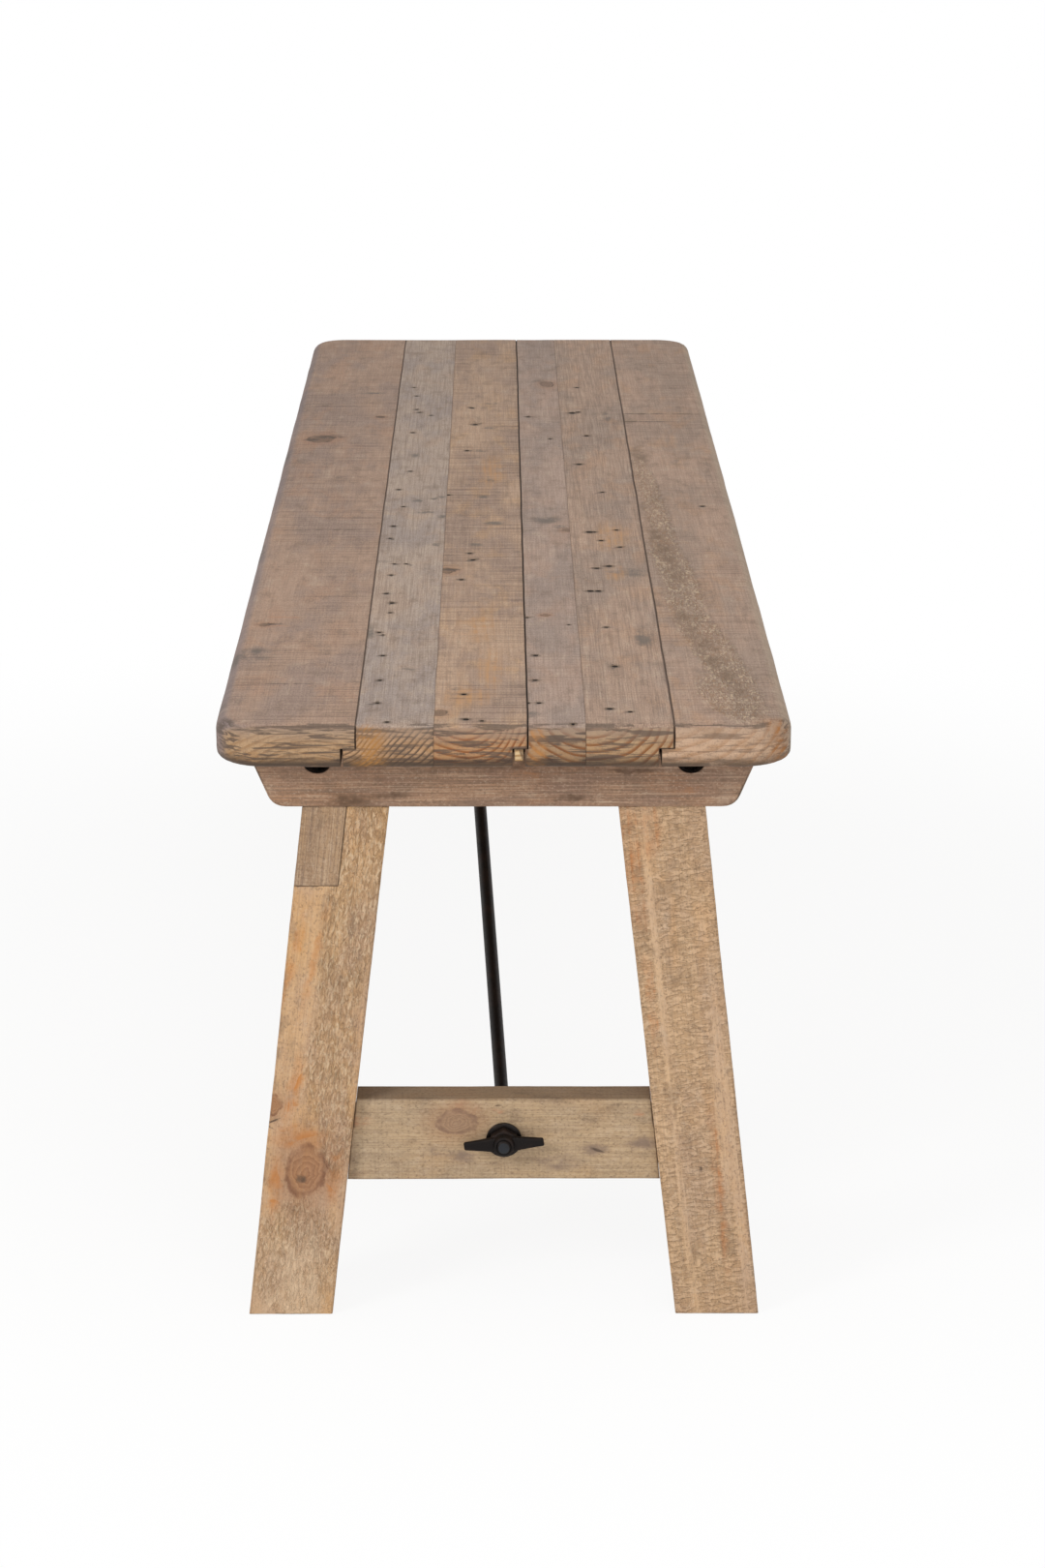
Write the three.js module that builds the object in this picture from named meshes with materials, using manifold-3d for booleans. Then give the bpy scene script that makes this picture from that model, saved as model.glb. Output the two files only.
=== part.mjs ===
// Bench of reclaimed boards on two splayed trestles, each braced to the middle of the seat by a bent iron rod.
// Millimetres, +Z up. The seat runs along Y, and the origin is on the floor under its middle.
import * as THREE from 'three';
import { mergeVertices } from 'three/addons/utils/BufferGeometryUtils.js';
import Module from 'manifold-3d';

const wasm = await Module();
wasm.setup();

// Seat
const seatLength = 1500;
const seatWidth = 400;
const seatHeight = 460;
const seatThickness = 30;
const seatCornerRadius = 35;
const seatTopRounding = 10;
const seatBottomRounding = 6;

// The seat's lap joints and glue lines, each as a share of the width from the left edge
const lapSeamShares = [0.245, 0.541, 0.793];
const glueLineShares = [0.379, 0.641];
const lapDepthShare = 0.53;
const lapWidth = 10.5;
const lapSlot = 1.8;
const seamGap = 0.8;
const fillerWidth = 6.4;
const fillerHeight = 8.7;

// Bearers
const seatOverhang = 40;
const bearerSideMargin = 21;
const bearerThickness = 44;
const bearerHeight = 40;
const bearerEndSlope = THREE.MathUtils.degToRad(23);
const bearerCornerRadius = 9;
const pocketInset = 48.4;
const pocketRadius = 10.9;
const pocketDrop = 4.6;
const pocketDepth = 14;

// Legs
const legWidth = 61;
const legThickness = 40;
const legSplay = THREE.MathUtils.degToRad(6.6);
const legInset = 20.5;
const legTenonWidth = 36;
const legTenonThickness = 14;
const legTenonLength = 22;
const patchWidth = 31;
const patchHeight = 59;
const patchDepth = 12;

// Stretchers
const stretcherRise = 103.5;
const stretcherHeight = 63;
const stretcherThickness = 25;
const stretcherTenonHeight = 43;
const stretcherTenonThickness = 12;
const stretcherTenonLength = 24;

// Cleat across the middle of the underside
const cleatMargin = 35;
const cleatWidth = 70;
const cleatThickness = 22;

// Rods
const rodDiameter = 10;
const rodHoleClearance = 0.6;
const rodTipReach = 17.5;
const rodTipChamfer = 1.2;
const rodStraightBehind = 12;
const rodSideShare = 0.09;
const rodSideOffset = seatWidth * rodSideShare;
const rodBendTangent = 9;
const rodTipShare = 0.8;
const forgeLength = 44;
const palmWidth = 22;
const palmThickness = 5;
const palmHeel = 24;
const palmToe = 22;
const palmEndShares = [0, 0.15, 0.5, 1];
const palmTipShare = 0.3;
const palmSquareness = 0.4;

// Washers and wing nuts
const washerDiameter = 26;
const washerThickness = 2.5;
const washerEdge = 0.6;
const hexAcrossFlats = 19;
const hexHeight = 6.5;
const hexChamfer = 1.4;
const bossBaseDiameter = 18;
const bossTopDiameter = 14.5;
const bossHeight = 6;
const bossRounding = 1.2;
const nutBoreClearance = 0.35;
const wingSpan = 57.5;
const wingRootDepth = 12;
const wingRootThickness = 5.2;
const wingTipDepth = 5.8;
const wingTipThickness = 3.2;
const wingTipRounding = 0.9;
const wingShares = [0, 0.35, 0.7, 1];
const wingTaper = 0.85;
const wingSquareness = 0.5;
const wingRestAngle = THREE.MathUtils.degToRad(3.6);

// Screws
const screwHeadRadius = 4.5;
const screwHeadRim = 0.6;
const screwHeadHeight = 3;
const screwShankRadius = 2.2;
const screwPointLength = 6;
const screwSink = 0.4;
const bearerScrewLength = 44;
const bearerCounterbore = 12;
const cleatScrewLength = 42;
const palmScrewLength = 45;
const pocketScrewLength = 40;
const pocketScrewLean = THREE.MathUtils.degToRad(45);

// Fits, and the facets of round forms
const contactGap = 0.3;
const tenonClearance = 0.3;
const arris = 1.2;
const overrun = 5;
const cornerSteps = 8;
const roundingSteps = 5;
const curveSteps = 5;
const bendSteps = 3;
const forgeSteps = 3;
const rodSides = 14;
const turnedSides = 24;
const screwSides = 12;
const wingSides = 12;

// Levels and places that follow from the sizes above
const seatBottom = seatHeight - seatThickness;
const lapPlane = seatHeight - seatThickness * lapDepthShare;
const bearerTopHalf = seatWidth / 2 - bearerSideMargin;
const bearerBottomHalf = bearerTopHalf - bearerHeight * Math.tan(bearerEndSlope);
const legTop = seatBottom - bearerHeight;
const legTopCentre = bearerBottomHalf - legInset - legWidth / 2;
const trestleY = seatLength / 2 - seatOverhang - bearerThickness / 2;
const rodLevel = stretcherRise + stretcherHeight / 2;
const cleatHalf = seatWidth / 2 - cleatMargin;
const cleatEndSlope = cleatThickness / 2;
const cleatFlatHalf = cleatHalf - cleatEndSlope;
const palmBottom = seatBottom - cleatThickness - contactGap - palmThickness;
const [leftSeam, middleSeam, rightSeam] = lapSeamShares.map(seatX);
const [leftGlueLine, rightGlueLine] = glueLineShares.map(seatX);

const colours = {
  outerLeftBoard: 0xa28a7a,
  leftOuterStrip: 0x9f8c7f,
  leftInnerStrip: 0xac8e76,
  rightInnerStrip: 0xa28c7d,
  rightOuterStrip: 0xa08778,
  outerRightBoard: 0xa5897a,
  filler: 0xc4a585,
  bearer: 0x91715c,
  leg: 0xb8977a,
  patch: 0xa48667,
  stretcher: 0xaf957b,
  cleat: 0x9a7d68,
  iron: 0x241a16,
  screw: 0x2b2725,
};
const ironRoughness = 0.55;
const woodRoughness = 0.85;

function seatX(share) {
  return seatWidth * share - seatWidth / 2;
}

// Turns a closed three.js geometry into a solid that can be cut and joined.
function solid(geometry) {
  const bare = new THREE.BufferGeometry();
  bare.setAttribute('position', geometry.getAttribute('position'));
  bare.setIndex(geometry.getIndex());
  const merged = mergeVertices(bare);
  const corners = merged.getIndex().array;
  const triVerts = [];
  for (let i = 0; i < corners.length; i += 3) {
    const [a, b, c] = corners.slice(i, i + 3);
    if (a !== b && b !== c && c !== a) {
      triVerts.push(a, b, c);
    }
  }
  const vertProperties = merged.getAttribute('position').array;
  const mesh = new wasm.Mesh({ numProp: 3, vertProperties, triVerts: new Uint32Array(triVerts) });
  return new wasm.Manifold(mesh);
}

function join(...solids) {
  return solids.reduce((whole, piece) => whole.add(piece));
}

function cut(body, ...tools) {
  return tools.reduce((rest, tool) => rest.subtract(tool), body);
}

function named(name, body, colour, metalness = 0) {
  const { vertProperties, triVerts } = body.getMesh();
  const geometry = new THREE.BufferGeometry();
  geometry.setAttribute('position', new THREE.BufferAttribute(new Float32Array(vertProperties), 3));
  geometry.setIndex(new THREE.BufferAttribute(new Uint32Array(triVerts), 1));
  const roughness = metalness ? ironRoughness : woodRoughness;
  const material = new THREE.MeshStandardMaterial({ color: colour, roughness, metalness, flatShading: true });
  const mesh = new THREE.Mesh(geometry, material);
  mesh.name = name;
  return mesh;
}

function box(x0, x1, y0, y1, z0, z1) {
  const geometry = new THREE.BoxGeometry(x1 - x0, y1 - y0, z1 - z0);
  geometry.translate((x0 + x1) / 2, (y0 + y1) / 2, (z0 + z1) / 2);
  return solid(geometry);
}

function outline(points) {
  return new THREE.Shape(points.map(([x, z]) => new THREE.Vector2(x, z)));
}

// A plank whose outline lies in the X-Z plane, between two places along Y, with its arrises eased.
function plank(shape, y0, y1, easing = 0) {
  const geometry = new THREE.ExtrudeGeometry(shape, {
    depth: y1 - y0 - 2 * easing,
    bevelEnabled: easing > 0,
    bevelThickness: easing,
    bevelSize: easing,
    bevelOffset: -easing,
    bevelSegments: 2,
    curveSegments: curveSteps,
  });
  geometry.translate(0, 0, easing);
  geometry.rotateX(Math.PI / 2);
  geometry.translate(0, y1, 0);
  return solid(geometry);
}

// A closed skin from ring to ring, with a fan of triangles over each end.
function loft(rings) {
  const around = rings[0].length;
  const last = rings.length - 1;
  const middle = (ring) => ring.reduce((sum, p) => sum.add(p), new THREE.Vector3()).divideScalar(around);
  const points = [...rings.flat(), middle(rings[0]), middle(rings[last])];
  const startPole = rings.length * around;
  const endPole = startPole + 1;
  const index = [];
  for (let side = 0; side < around; side++) {
    const next = (side + 1) % around;
    for (let ring = 0; ring < last; ring++) {
      const a = ring * around + side;
      const b = ring * around + next;
      index.push(a, b, b + around, a, b + around, a + around);
    }
    index.push(next, side, startPole);
    index.push(last * around + side, last * around + next, endPole);
  }
  const geometry = new THREE.BufferGeometry();
  geometry.setFromPoints(points);
  geometry.setIndex(index);
  return geometry;
}

// Turned round the Z axis from a list of [radius, height], lowest first.
function turned(profile, sides) {
  const points = profile.map(([radius, height]) => new THREE.Vector2(radius, height));
  const geometry = new THREE.LatheGeometry(points, sides);
  geometry.rotateX(Math.PI / 2);
  return geometry;
}

// A drill along Y, centred on a place in the X-Z plane.
function drill(radius, x, z, y0, y1) {
  const geometry = new THREE.CylinderGeometry(radius, radius, y1 - y0, turnedSides);
  geometry.translate(x, (y0 + y1) / 2, z);
  return solid(geometry);
}

// The seat as one worn slab, rounded at its corners and edges, before it is parted into boards.
function seatSlab() {
  const rings = [];
  for (let step = 0; step <= roundingSteps; step++) {
    const angle = (Math.PI / 2) * (step / roundingSteps);
    const inset = seatBottomRounding * (1 - Math.sin(angle));
    rings.push(slabRing(inset, seatBottom + seatBottomRounding * (1 - Math.cos(angle))));
  }
  for (let step = 0; step <= roundingSteps; step++) {
    const angle = (Math.PI / 2) * (step / roundingSteps);
    const inset = seatTopRounding * (1 - Math.cos(angle));
    rings.push(slabRing(inset, seatHeight - seatTopRounding * (1 - Math.sin(angle))));
  }
  return solid(loft(rings));
}

function slabRing(inset, level) {
  const radius = seatCornerRadius - inset;
  const centres = [[1, 1], [-1, 1], [-1, -1], [1, -1]];
  return centres.flatMap(([sideX, sideY], corner) => {
    const centreX = sideX * (seatWidth / 2 - seatCornerRadius);
    const centreY = sideY * (seatLength / 2 - seatCornerRadius);
    return Array.from({ length: cornerSteps + 1 }, (unused, step) => {
      const angle = (Math.PI / 2) * (corner + step / cornerSteps);
      const x = centreX + radius * Math.cos(angle);
      const y = centreY + radius * Math.sin(angle);
      return new THREE.Vector3(x, y, level);
    });
  });
}

// The edges that a seat board can have: where its upper half ends, and where its lower half does.
function outerEdge(side) {
  const x = side * (seatWidth / 2 + overrun);
  return { upper: x, lower: x };
}

function gluedEdge(x) {
  return { upper: x, lower: x };
}

function lipEdge(seam) {
  return { upper: seam - seamGap / 2, lower: seam - lapWidth };
}

function tongueEdge(seam) {
  return { upper: seam + seamGap / 2, lower: seam - lapWidth + lapSlot };
}

function stubEdge(seam) {
  return { upper: seam + seamGap / 2, lower: seam - lapSlot };
}

function seatBoard(slab, left, right, bores) {
  const low = seatBottom - overrun;
  const high = seatHeight + overrun;
  const tongueTop = lapPlane - contactGap / 2;
  const lipUnderside = lapPlane + contactGap / 2;
  const profile = outline([
    [left.lower, low],
    [right.lower, low],
    [right.lower, lipUnderside],
    [right.upper, lipUnderside],
    [right.upper, high],
    [left.upper, high],
    [left.upper, tongueTop],
    [left.lower, tongueTop],
  ]);
  const half = seatLength / 2 + overrun;
  return cut(slab.intersect(plank(profile, -half, half)), ...bores);
}

// The loose strip that fills the rebate where the middle joint has lost its tongue.
function lapFiller(slab, bores) {
  const centre = middleSeam - (lapWidth + lapSlot) / 2;
  const top = lapPlane - contactGap / 2;
  const half = seatLength / 2 + overrun;
  const strip = box(centre - fillerWidth / 2, centre + fillerWidth / 2, -half, half, top - fillerHeight, top);
  return cut(slab.intersect(strip), ...bores);
}

function seat(screws) {
  const slab = seatSlab();
  const bores = screws.map((screw) => screwBore(screw, screw.matrixWorld));
  const pieces = [
    ['seat_board_outer_left', outerEdge(-1), lipEdge(leftSeam), colours.outerLeftBoard],
    ['seat_strip_left_outer', tongueEdge(leftSeam), gluedEdge(leftGlueLine), colours.leftOuterStrip],
    ['seat_strip_left_inner', gluedEdge(leftGlueLine), lipEdge(middleSeam), colours.leftInnerStrip],
    ['seat_strip_right_inner', stubEdge(middleSeam), gluedEdge(rightGlueLine), colours.rightInnerStrip],
    ['seat_strip_right_outer', gluedEdge(rightGlueLine), lipEdge(rightSeam), colours.rightOuterStrip],
    ['seat_board_outer_right', tongueEdge(rightSeam), outerEdge(1), colours.outerRightBoard],
  ];
  const group = new THREE.Group();
  for (const [name, left, right, colour] of pieces) {
    group.add(named(name, seatBoard(slab, left, right, bores), colour));
  }
  group.add(named('seat_lap_filler', lapFiller(slab, bores), colours.filler));
  return group;
}

// A countersunk screw, head at the origin and shank up, grown by a clearance and opened below its head.
function screwForm(length, clearance = 0, opening = 0) {
  const head = screwHeadRadius + clearance;
  const shank = screwShankRadius + clearance;
  const profile = [
    [0, -opening],
    [head, -opening],
    [head, screwHeadRim],
    [shank, screwHeadHeight],
    [shank, length - screwPointLength],
    [0, length + clearance],
  ];
  return turned(profile, screwSides);
}

function screw(name, length, opening, position, lean = 0) {
  const mesh = named(name, solid(screwForm(length)), colours.screw, 1);
  mesh.position.copy(position);
  mesh.rotation.x = -lean;
  mesh.userData = { length, opening };
  return mesh;
}

function screwBore(mesh, matrix) {
  const geometry = screwForm(mesh.userData.length, contactGap, mesh.userData.opening);
  geometry.applyMatrix4(matrix);
  return solid(geometry);
}

// Half the distance from the bench's centre line to a leg's centre line, at a height above the floor
function legCentre(level) {
  return legTopCentre + (legTop - level) * Math.tan(legSplay);
}

function legOutline(side, halfWidth, low, high) {
  return outline([
    [side * (legCentre(low) + halfWidth), low],
    [side * (legCentre(low) - halfWidth), low],
    [side * (legCentre(high) - halfWidth), high],
    [side * (legCentre(high) + halfWidth), high],
  ]);
}

function legTenon(side, clearance) {
  const half = legTenonThickness / 2 + clearance;
  const top = legTop + legTenonLength + clearance;
  return plank(legOutline(side, legTenonWidth / 2 + clearance, legTop - overrun, top), -half, half);
}

function leg(side) {
  const half = legThickness / 2;
  const reach = seatWidth;
  const stave = plank(legOutline(side, legWidth / 2, -overrun, legTop + overrun), -half, half, arris);
  const trimmed = stave.intersect(box(-reach, reach, -legThickness, legThickness, 0, legTop));
  return cut(join(trimmed, legTenon(side, 0)), stretcherTenons(tenonClearance));
}

// The corner of the leg that the repair patch fills: outer half of the front face, up to the shoulder.
function patchRegion(side, clearance) {
  const outer = (level) => legCentre(level) + legWidth / 2;
  const low = legTop - patchHeight - clearance;
  const inner = (level) => outer(level) - patchWidth - clearance;
  const region = outline([
    [side * (outer(low) + overrun), low],
    [side * inner(low), low],
    [side * inner(legTop), legTop],
    [side * (outer(legTop) + overrun), legTop],
  ]);
  const front = -legThickness / 2;
  return plank(region, front - overrun, front + patchDepth + clearance);
}

function stretcherTenons(clearance) {
  const reach = legCentre(rodLevel) - legWidth / 2 + stretcherTenonLength + clearance;
  const halfThickness = stretcherTenonThickness / 2 + clearance;
  const halfHeight = stretcherTenonHeight / 2 + clearance;
  return box(-reach, reach, -halfThickness, halfThickness, rodLevel - halfHeight, rodLevel + halfHeight);
}

function stretcher() {
  const low = stretcherRise;
  const high = stretcherRise + stretcherHeight;
  const half = stretcherThickness / 2;
  const shoulder = (level) => legCentre(level) - legWidth / 2 - contactGap;
  const rail = outline([
    [-shoulder(low) - overrun, low],
    [shoulder(low) + overrun, low],
    [shoulder(high) + overrun, high],
    [-shoulder(high) - overrun, high],
  ]);
  const between = outline([
    [-shoulder(low - overrun), low - overrun],
    [shoulder(low - overrun), low - overrun],
    [shoulder(high + overrun), high + overrun],
    [-shoulder(high + overrun), high + overrun],
  ]);
  const trimmed = plank(rail, -half, half, arris).intersect(plank(between, -half - overrun, half + overrun));
  const hole = drill(rodDiameter / 2 + rodHoleClearance, 0, rodLevel, -half - overrun, half + overrun);
  return cut(join(trimmed, stretcherTenons(0)), hole);
}

// The bearer's outline: level top, ends that slope in, and round lower corners.
function bearerShape() {
  const shape = new THREE.Shape();
  const corner = bearerCornerRadius;
  const slopeX = Math.sin(bearerEndSlope) * corner;
  const slopeZ = Math.cos(bearerEndSlope) * corner;
  shape.moveTo(-bearerTopHalf, seatBottom);
  shape.lineTo(-bearerBottomHalf - slopeX, legTop + slopeZ);
  shape.quadraticCurveTo(-bearerBottomHalf, legTop, -bearerBottomHalf + corner, legTop);
  shape.lineTo(bearerBottomHalf - corner, legTop);
  shape.quadraticCurveTo(bearerBottomHalf, legTop, bearerBottomHalf + slopeX, legTop + slopeZ);
  shape.lineTo(bearerTopHalf, seatBottom);
  return shape;
}

function bearer(screws) {
  const half = bearerThickness / 2;
  const pocketX = bearerTopHalf - pocketInset;
  const pocketLevel = seatBottom - pocketDrop;
  const pockets = [-1, 1].map((side) => {
    return drill(pocketRadius, side * pocketX, pocketLevel, -half - overrun, -half + pocketDepth);
  });
  const mortises = [-1, 1].map((side) => legTenon(side, tenonClearance));
  const bores = screws.map((each) => screwBore(each, each.matrix));
  return cut(plank(bearerShape(), -half, half, arris), ...pockets, ...mortises, ...bores);
}

// Screws that hold a bearer: two lean up out of its pockets, two stand in counterbores under the inner strips.
function bearerScrews(end, turn) {
  const front = -bearerThickness / 2;
  const headLevel = seatBottom - pocketRadius;
  const innerStrips = [(leftGlueLine + middleSeam) / 2, (middleSeam + rightGlueLine) / 2];
  return [-1, 1].flatMap((side, place) => {
    const pocketX = side * turn * (bearerTopHalf - pocketInset);
    const pocketPlace = new THREE.Vector3(pocketX, front + pocketDepth - screwHeadRim, headLevel);
    const counterPlace = new THREE.Vector3(turn * innerStrips[place], 0, legTop + bearerCounterbore);
    const label = side < 0 ? 'left' : 'right';
    return [
      screw(`${end}_pocket_screw_${label}`, pocketScrewLength, overrun, pocketPlace, pocketScrewLean),
      screw(`${end}_bearer_screw_${label}`, bearerScrewLength, bearerCounterbore + overrun, counterPlace),
    ];
  });
}

// The rod's centre line: straight through the stretcher, up to the middle of the seat, then level under the cleat.
function rodPath() {
  const behind = stretcherThickness / 2 + rodStraightBehind;
  const palmLevel = palmBottom + palmThickness / 2;
  const tip = new THREE.Vector3(0, -stretcherThickness / 2 - rodTipReach, rodLevel);
  const lowBend = new THREE.Vector3(0, behind, rodLevel);
  const highBend = new THREE.Vector3(-rodSideOffset, trestleY - palmHeel, palmLevel);
  const toe = new THREE.Vector3(-rodSideOffset, trestleY + palmToe, palmLevel);
  const towards = (from, to) => to.clone().sub(from).setLength(rodBendTangent).add(from);
  const path = new THREE.CurvePath();
  path.add(new THREE.LineCurve3(tip, towards(lowBend, tip)));
  path.add(new THREE.QuadraticBezierCurve3(towards(lowBend, tip), lowBend, towards(lowBend, highBend)));
  path.add(new THREE.LineCurve3(towards(lowBend, highBend), towards(highBend, lowBend)));
  path.add(new THREE.QuadraticBezierCurve3(towards(highBend, lowBend), highBend, towards(highBend, toe)));
  path.add(new THREE.LineCurve3(towards(highBend, toe), toe));
  return path;
}

function spaced(from, to, steps) {
  return Array.from({ length: steps + 1 }, (unused, step) => from + (to - from) * (step / steps));
}

// Distances along the rod at which its section is drawn: close together only where it bends or is forged.
function rodStations(path) {
  const ends = path.getCurveLengths();
  const toePlace = ends[4];
  const palmStart = toePlace - palmHeel - palmToe;
  return [
    0,
    rodTipChamfer,
    ...spaced(ends[0], ends[1], bendSteps),
    ...spaced(palmStart - forgeLength, palmStart, forgeSteps).slice(0, -1),
    ...spaced(ends[2], ends[3], bendSteps),
    ...palmEndShares.map((share) => toePlace - (palmWidth / 2) * share).reverse(),
  ].sort((a, b) => a - b);
}

// One section of the rod: round, or hammered flat towards the toe, which has a round end in plan.
function rodSection(path, distance) {
  const length = path.getLength();
  const centre = path.getPointAt(distance / length);
  const tangent = path.getTangentAt(distance / length);
  const side = new THREE.Vector3().crossVectors(tangent, new THREE.Vector3(0, 0, 1)).normalize();
  const up = new THREE.Vector3().crossVectors(side, tangent);
  const remaining = length - distance;
  const palmLength = palmHeel + palmToe;
  const flat = THREE.MathUtils.smoothstep(palmLength + forgeLength - remaining, 0, forgeLength);
  const tipShare = THREE.MathUtils.lerp(rodTipShare, 1, Math.min(distance / rodTipChamfer, 1));
  const toeShare = Math.max(palmTipShare, Math.sqrt(1 - (1 - Math.min(remaining / (palmWidth / 2), 1)) ** 2));
  const halfWidth = THREE.MathUtils.lerp(rodDiameter / 2, palmWidth / 2, flat) * tipShare * toeShare;
  const halfDepth = THREE.MathUtils.lerp(rodDiameter / 2, palmThickness / 2, flat) * tipShare;
  const power = THREE.MathUtils.lerp(1, palmSquareness, flat);
  return squareRound(centre, side, up, halfWidth, halfDepth, power, rodSides);
}

// A closed section between an ellipse (power 1) and a rectangle (power near 0).
function squareRound(centre, side, up, halfWidth, halfDepth, power, sides) {
  const bent = (value) => Math.sign(value) * Math.abs(value) ** power;
  return Array.from({ length: sides }, (unused, step) => {
    const angle = 2 * Math.PI * ((step + 0.5) / sides);
    return centre.clone()
      .addScaledVector(side, -halfWidth * bent(Math.cos(angle)))
      .addScaledVector(up, halfDepth * bent(Math.sin(angle)));
  });
}

function rod(palmScrew) {
  const path = rodPath();
  const rings = rodStations(path).map((distance) => rodSection(path, distance));
  return cut(solid(loft(rings)), screwBore(palmScrew, palmScrew.matrix));
}

function washer() {
  const inner = rodDiameter / 2 + rodHoleClearance;
  const outer = washerDiameter / 2;
  const profile = [
    [inner, 0],
    [outer - washerEdge, 0],
    [outer, washerEdge],
    [outer, washerThickness - washerEdge],
    [outer - washerEdge, washerThickness],
    [inner, washerThickness],
    [inner, 0],
  ];
  return solid(turned(profile, turnedSides));
}

// One wing of the cast nut, from inside its boss to its squared tip, deeper and thicker at the root.
function wing(side) {
  const start = rodDiameter / 2 + nutBoreClearance;
  const end = wingSpan / 2 - wingTipRounding;
  const middle = (hexHeight + bossHeight) / 2;
  const across = new THREE.Vector3(0, side, 0);
  const up = new THREE.Vector3(0, 0, 1);
  const section = (x, depth, thickness) => {
    const centre = new THREE.Vector3(side * x, 0, middle);
    return squareRound(centre, across, up, depth / 2, thickness / 2, wingSquareness, wingSides);
  };
  const rings = wingShares.map((share) => {
    const depth = THREE.MathUtils.lerp(wingRootDepth, wingTipDepth, share ** wingTaper);
    const thickness = THREE.MathUtils.lerp(wingRootThickness, wingTipThickness, share ** wingTaper);
    return section(THREE.MathUtils.lerp(start, end, share), depth, thickness);
  });
  rings.push(section(wingSpan / 2, wingTipDepth - wingTipRounding, wingTipThickness - wingTipRounding));
  return solid(loft(rings.reverse()));
}

// Cast wing nut, its seat at the origin and its boss along +Z.
function wingNut() {
  const hexRadius = hexAcrossFlats / 2 / Math.cos(Math.PI / 6);
  const prism = new THREE.CylinderGeometry(hexRadius, hexRadius, hexHeight, 6);
  prism.rotateX(Math.PI / 2);
  prism.translate(0, 0, hexHeight / 2);
  const envelope = turned([
    [0, -overrun],
    [hexRadius + overrun, -overrun],
    [hexRadius, hexHeight - hexChamfer],
    [hexAcrossFlats / 2, hexHeight],
    [0, hexHeight],
  ], turnedSides);
  const top = hexHeight + bossHeight;
  const boss = turned([
    [0, 0],
    [bossBaseDiameter / 2, 0],
    [bossBaseDiameter / 2, hexHeight],
    [bossTopDiameter / 2, top - bossRounding],
    [bossTopDiameter / 2 - bossRounding, top],
    [0, top],
  ], turnedSides);
  const boreRadius = rodDiameter / 2 + nutBoreClearance;
  const bore = turned([
    [0, -overrun],
    [boreRadius, -overrun],
    [boreRadius, top + overrun],
    [0, top + overrun],
  ], turnedSides);
  const base = solid(prism).intersect(solid(envelope));
  return cut(join(base, solid(boss), wing(-1), wing(1)), solid(bore));
}

// One trestle with its rod, about its own middle plane: -Y faces out from under the seat.
function trestle(end, turn) {
  const group = new THREE.Group();
  const palmPlace = new THREE.Vector3(-rodSideOffset, trestleY, palmBottom + screwSink);
  const palmScrew = screw(`${end}_palm_screw`, palmScrewLength, screwSink + overrun, palmPlace);
  const holding = bearerScrews(end, turn);
  for (const each of [palmScrew, ...holding]) {
    each.updateMatrix();
    group.add(each);
  }
  group.add(named(`${end}_bearer`, bearer(holding), colours.bearer));
  for (const side of [-1, 1]) {
    const label = side * turn < 0 ? 'left' : 'right';
    const whole = leg(side);
    const patched = end === 'near' && side < 0;
    const body = patched ? cut(whole, patchRegion(side, contactGap)) : whole;
    group.add(named(`${end}_${label}_leg`, body, colours.leg));
    if (patched) {
      const patch = whole.intersect(patchRegion(side, 0));
      group.add(named(`${end}_${label}_leg_patch`, patch, colours.patch));
    }
  }
  group.add(named(`${end}_stretcher`, stretcher(), colours.stretcher));
  group.add(named(`${end}_rod`, rod(palmScrew), colours.iron, 1));

  const ring = named(`${end}_washer`, washer(), colours.iron, 1);
  ring.rotation.x = Math.PI / 2;
  ring.position.set(0, -stretcherThickness / 2 - contactGap, rodLevel);
  group.add(ring);

  const nut = named(`${end}_wing_nut`, wingNut(), colours.iron, 1);
  nut.rotation.z = wingRestAngle;
  const nutAxis = new THREE.Group();
  nutAxis.rotation.x = Math.PI / 2;
  nutAxis.position.set(0, ring.position.y - washerThickness - contactGap, rodLevel);
  nutAxis.add(nut);
  group.add(nutAxis);
  return group;
}

// Cleat across the middle, which ties the boards together and takes both rods.
function cleatScrews() {
  const places = [
    (leftSeam - cleatFlatHalf) / 2,
    (leftSeam + leftGlueLine) / 2,
    (rightGlueLine + rightSeam) / 2,
    (rightSeam + cleatFlatHalf) / 2,
  ];
  const level = seatBottom - cleatThickness + screwSink;
  return places.map((x, place) => {
    const screwName = `cleat_screw_${place + 1}`;
    return screw(screwName, cleatScrewLength, screwSink + overrun, new THREE.Vector3(x, 0, level));
  });
}

function cleat(screws) {
  const low = seatBottom - cleatThickness;
  const shape = outline([
    [-cleatHalf, seatBottom],
    [-cleatHalf, low + cleatEndSlope],
    [-cleatFlatHalf, low],
    [cleatFlatHalf, low],
    [cleatHalf, low + cleatEndSlope],
    [cleatHalf, seatBottom],
  ]);
  const bores = screws.map((each) => screwBore(each, each.matrixWorld));
  return cut(plank(shape, -cleatWidth / 2, cleatWidth / 2, arris), ...bores);
}

const group = new THREE.Group();
const nearTrestle = trestle('near', 1);
nearTrestle.position.y = -trestleY;
const farTrestle = trestle('far', -1);
farTrestle.rotation.z = Math.PI;
farTrestle.position.y = trestleY;
const middleScrews = cleatScrews();
group.add(nearTrestle, farTrestle, ...middleScrews);
group.updateMatrixWorld(true);

const allScrews = [];
group.traverse((object) => {
  if (object.userData.length) {
    allScrews.push(object);
  }
});
const palmScrews = allScrews.filter((each) => each.name.endsWith('palm_screw'));
group.add(named('centre_cleat', cleat([...middleScrews, ...palmScrews]), colours.cleat));
group.add(seat(allScrews));

export default group;
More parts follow.
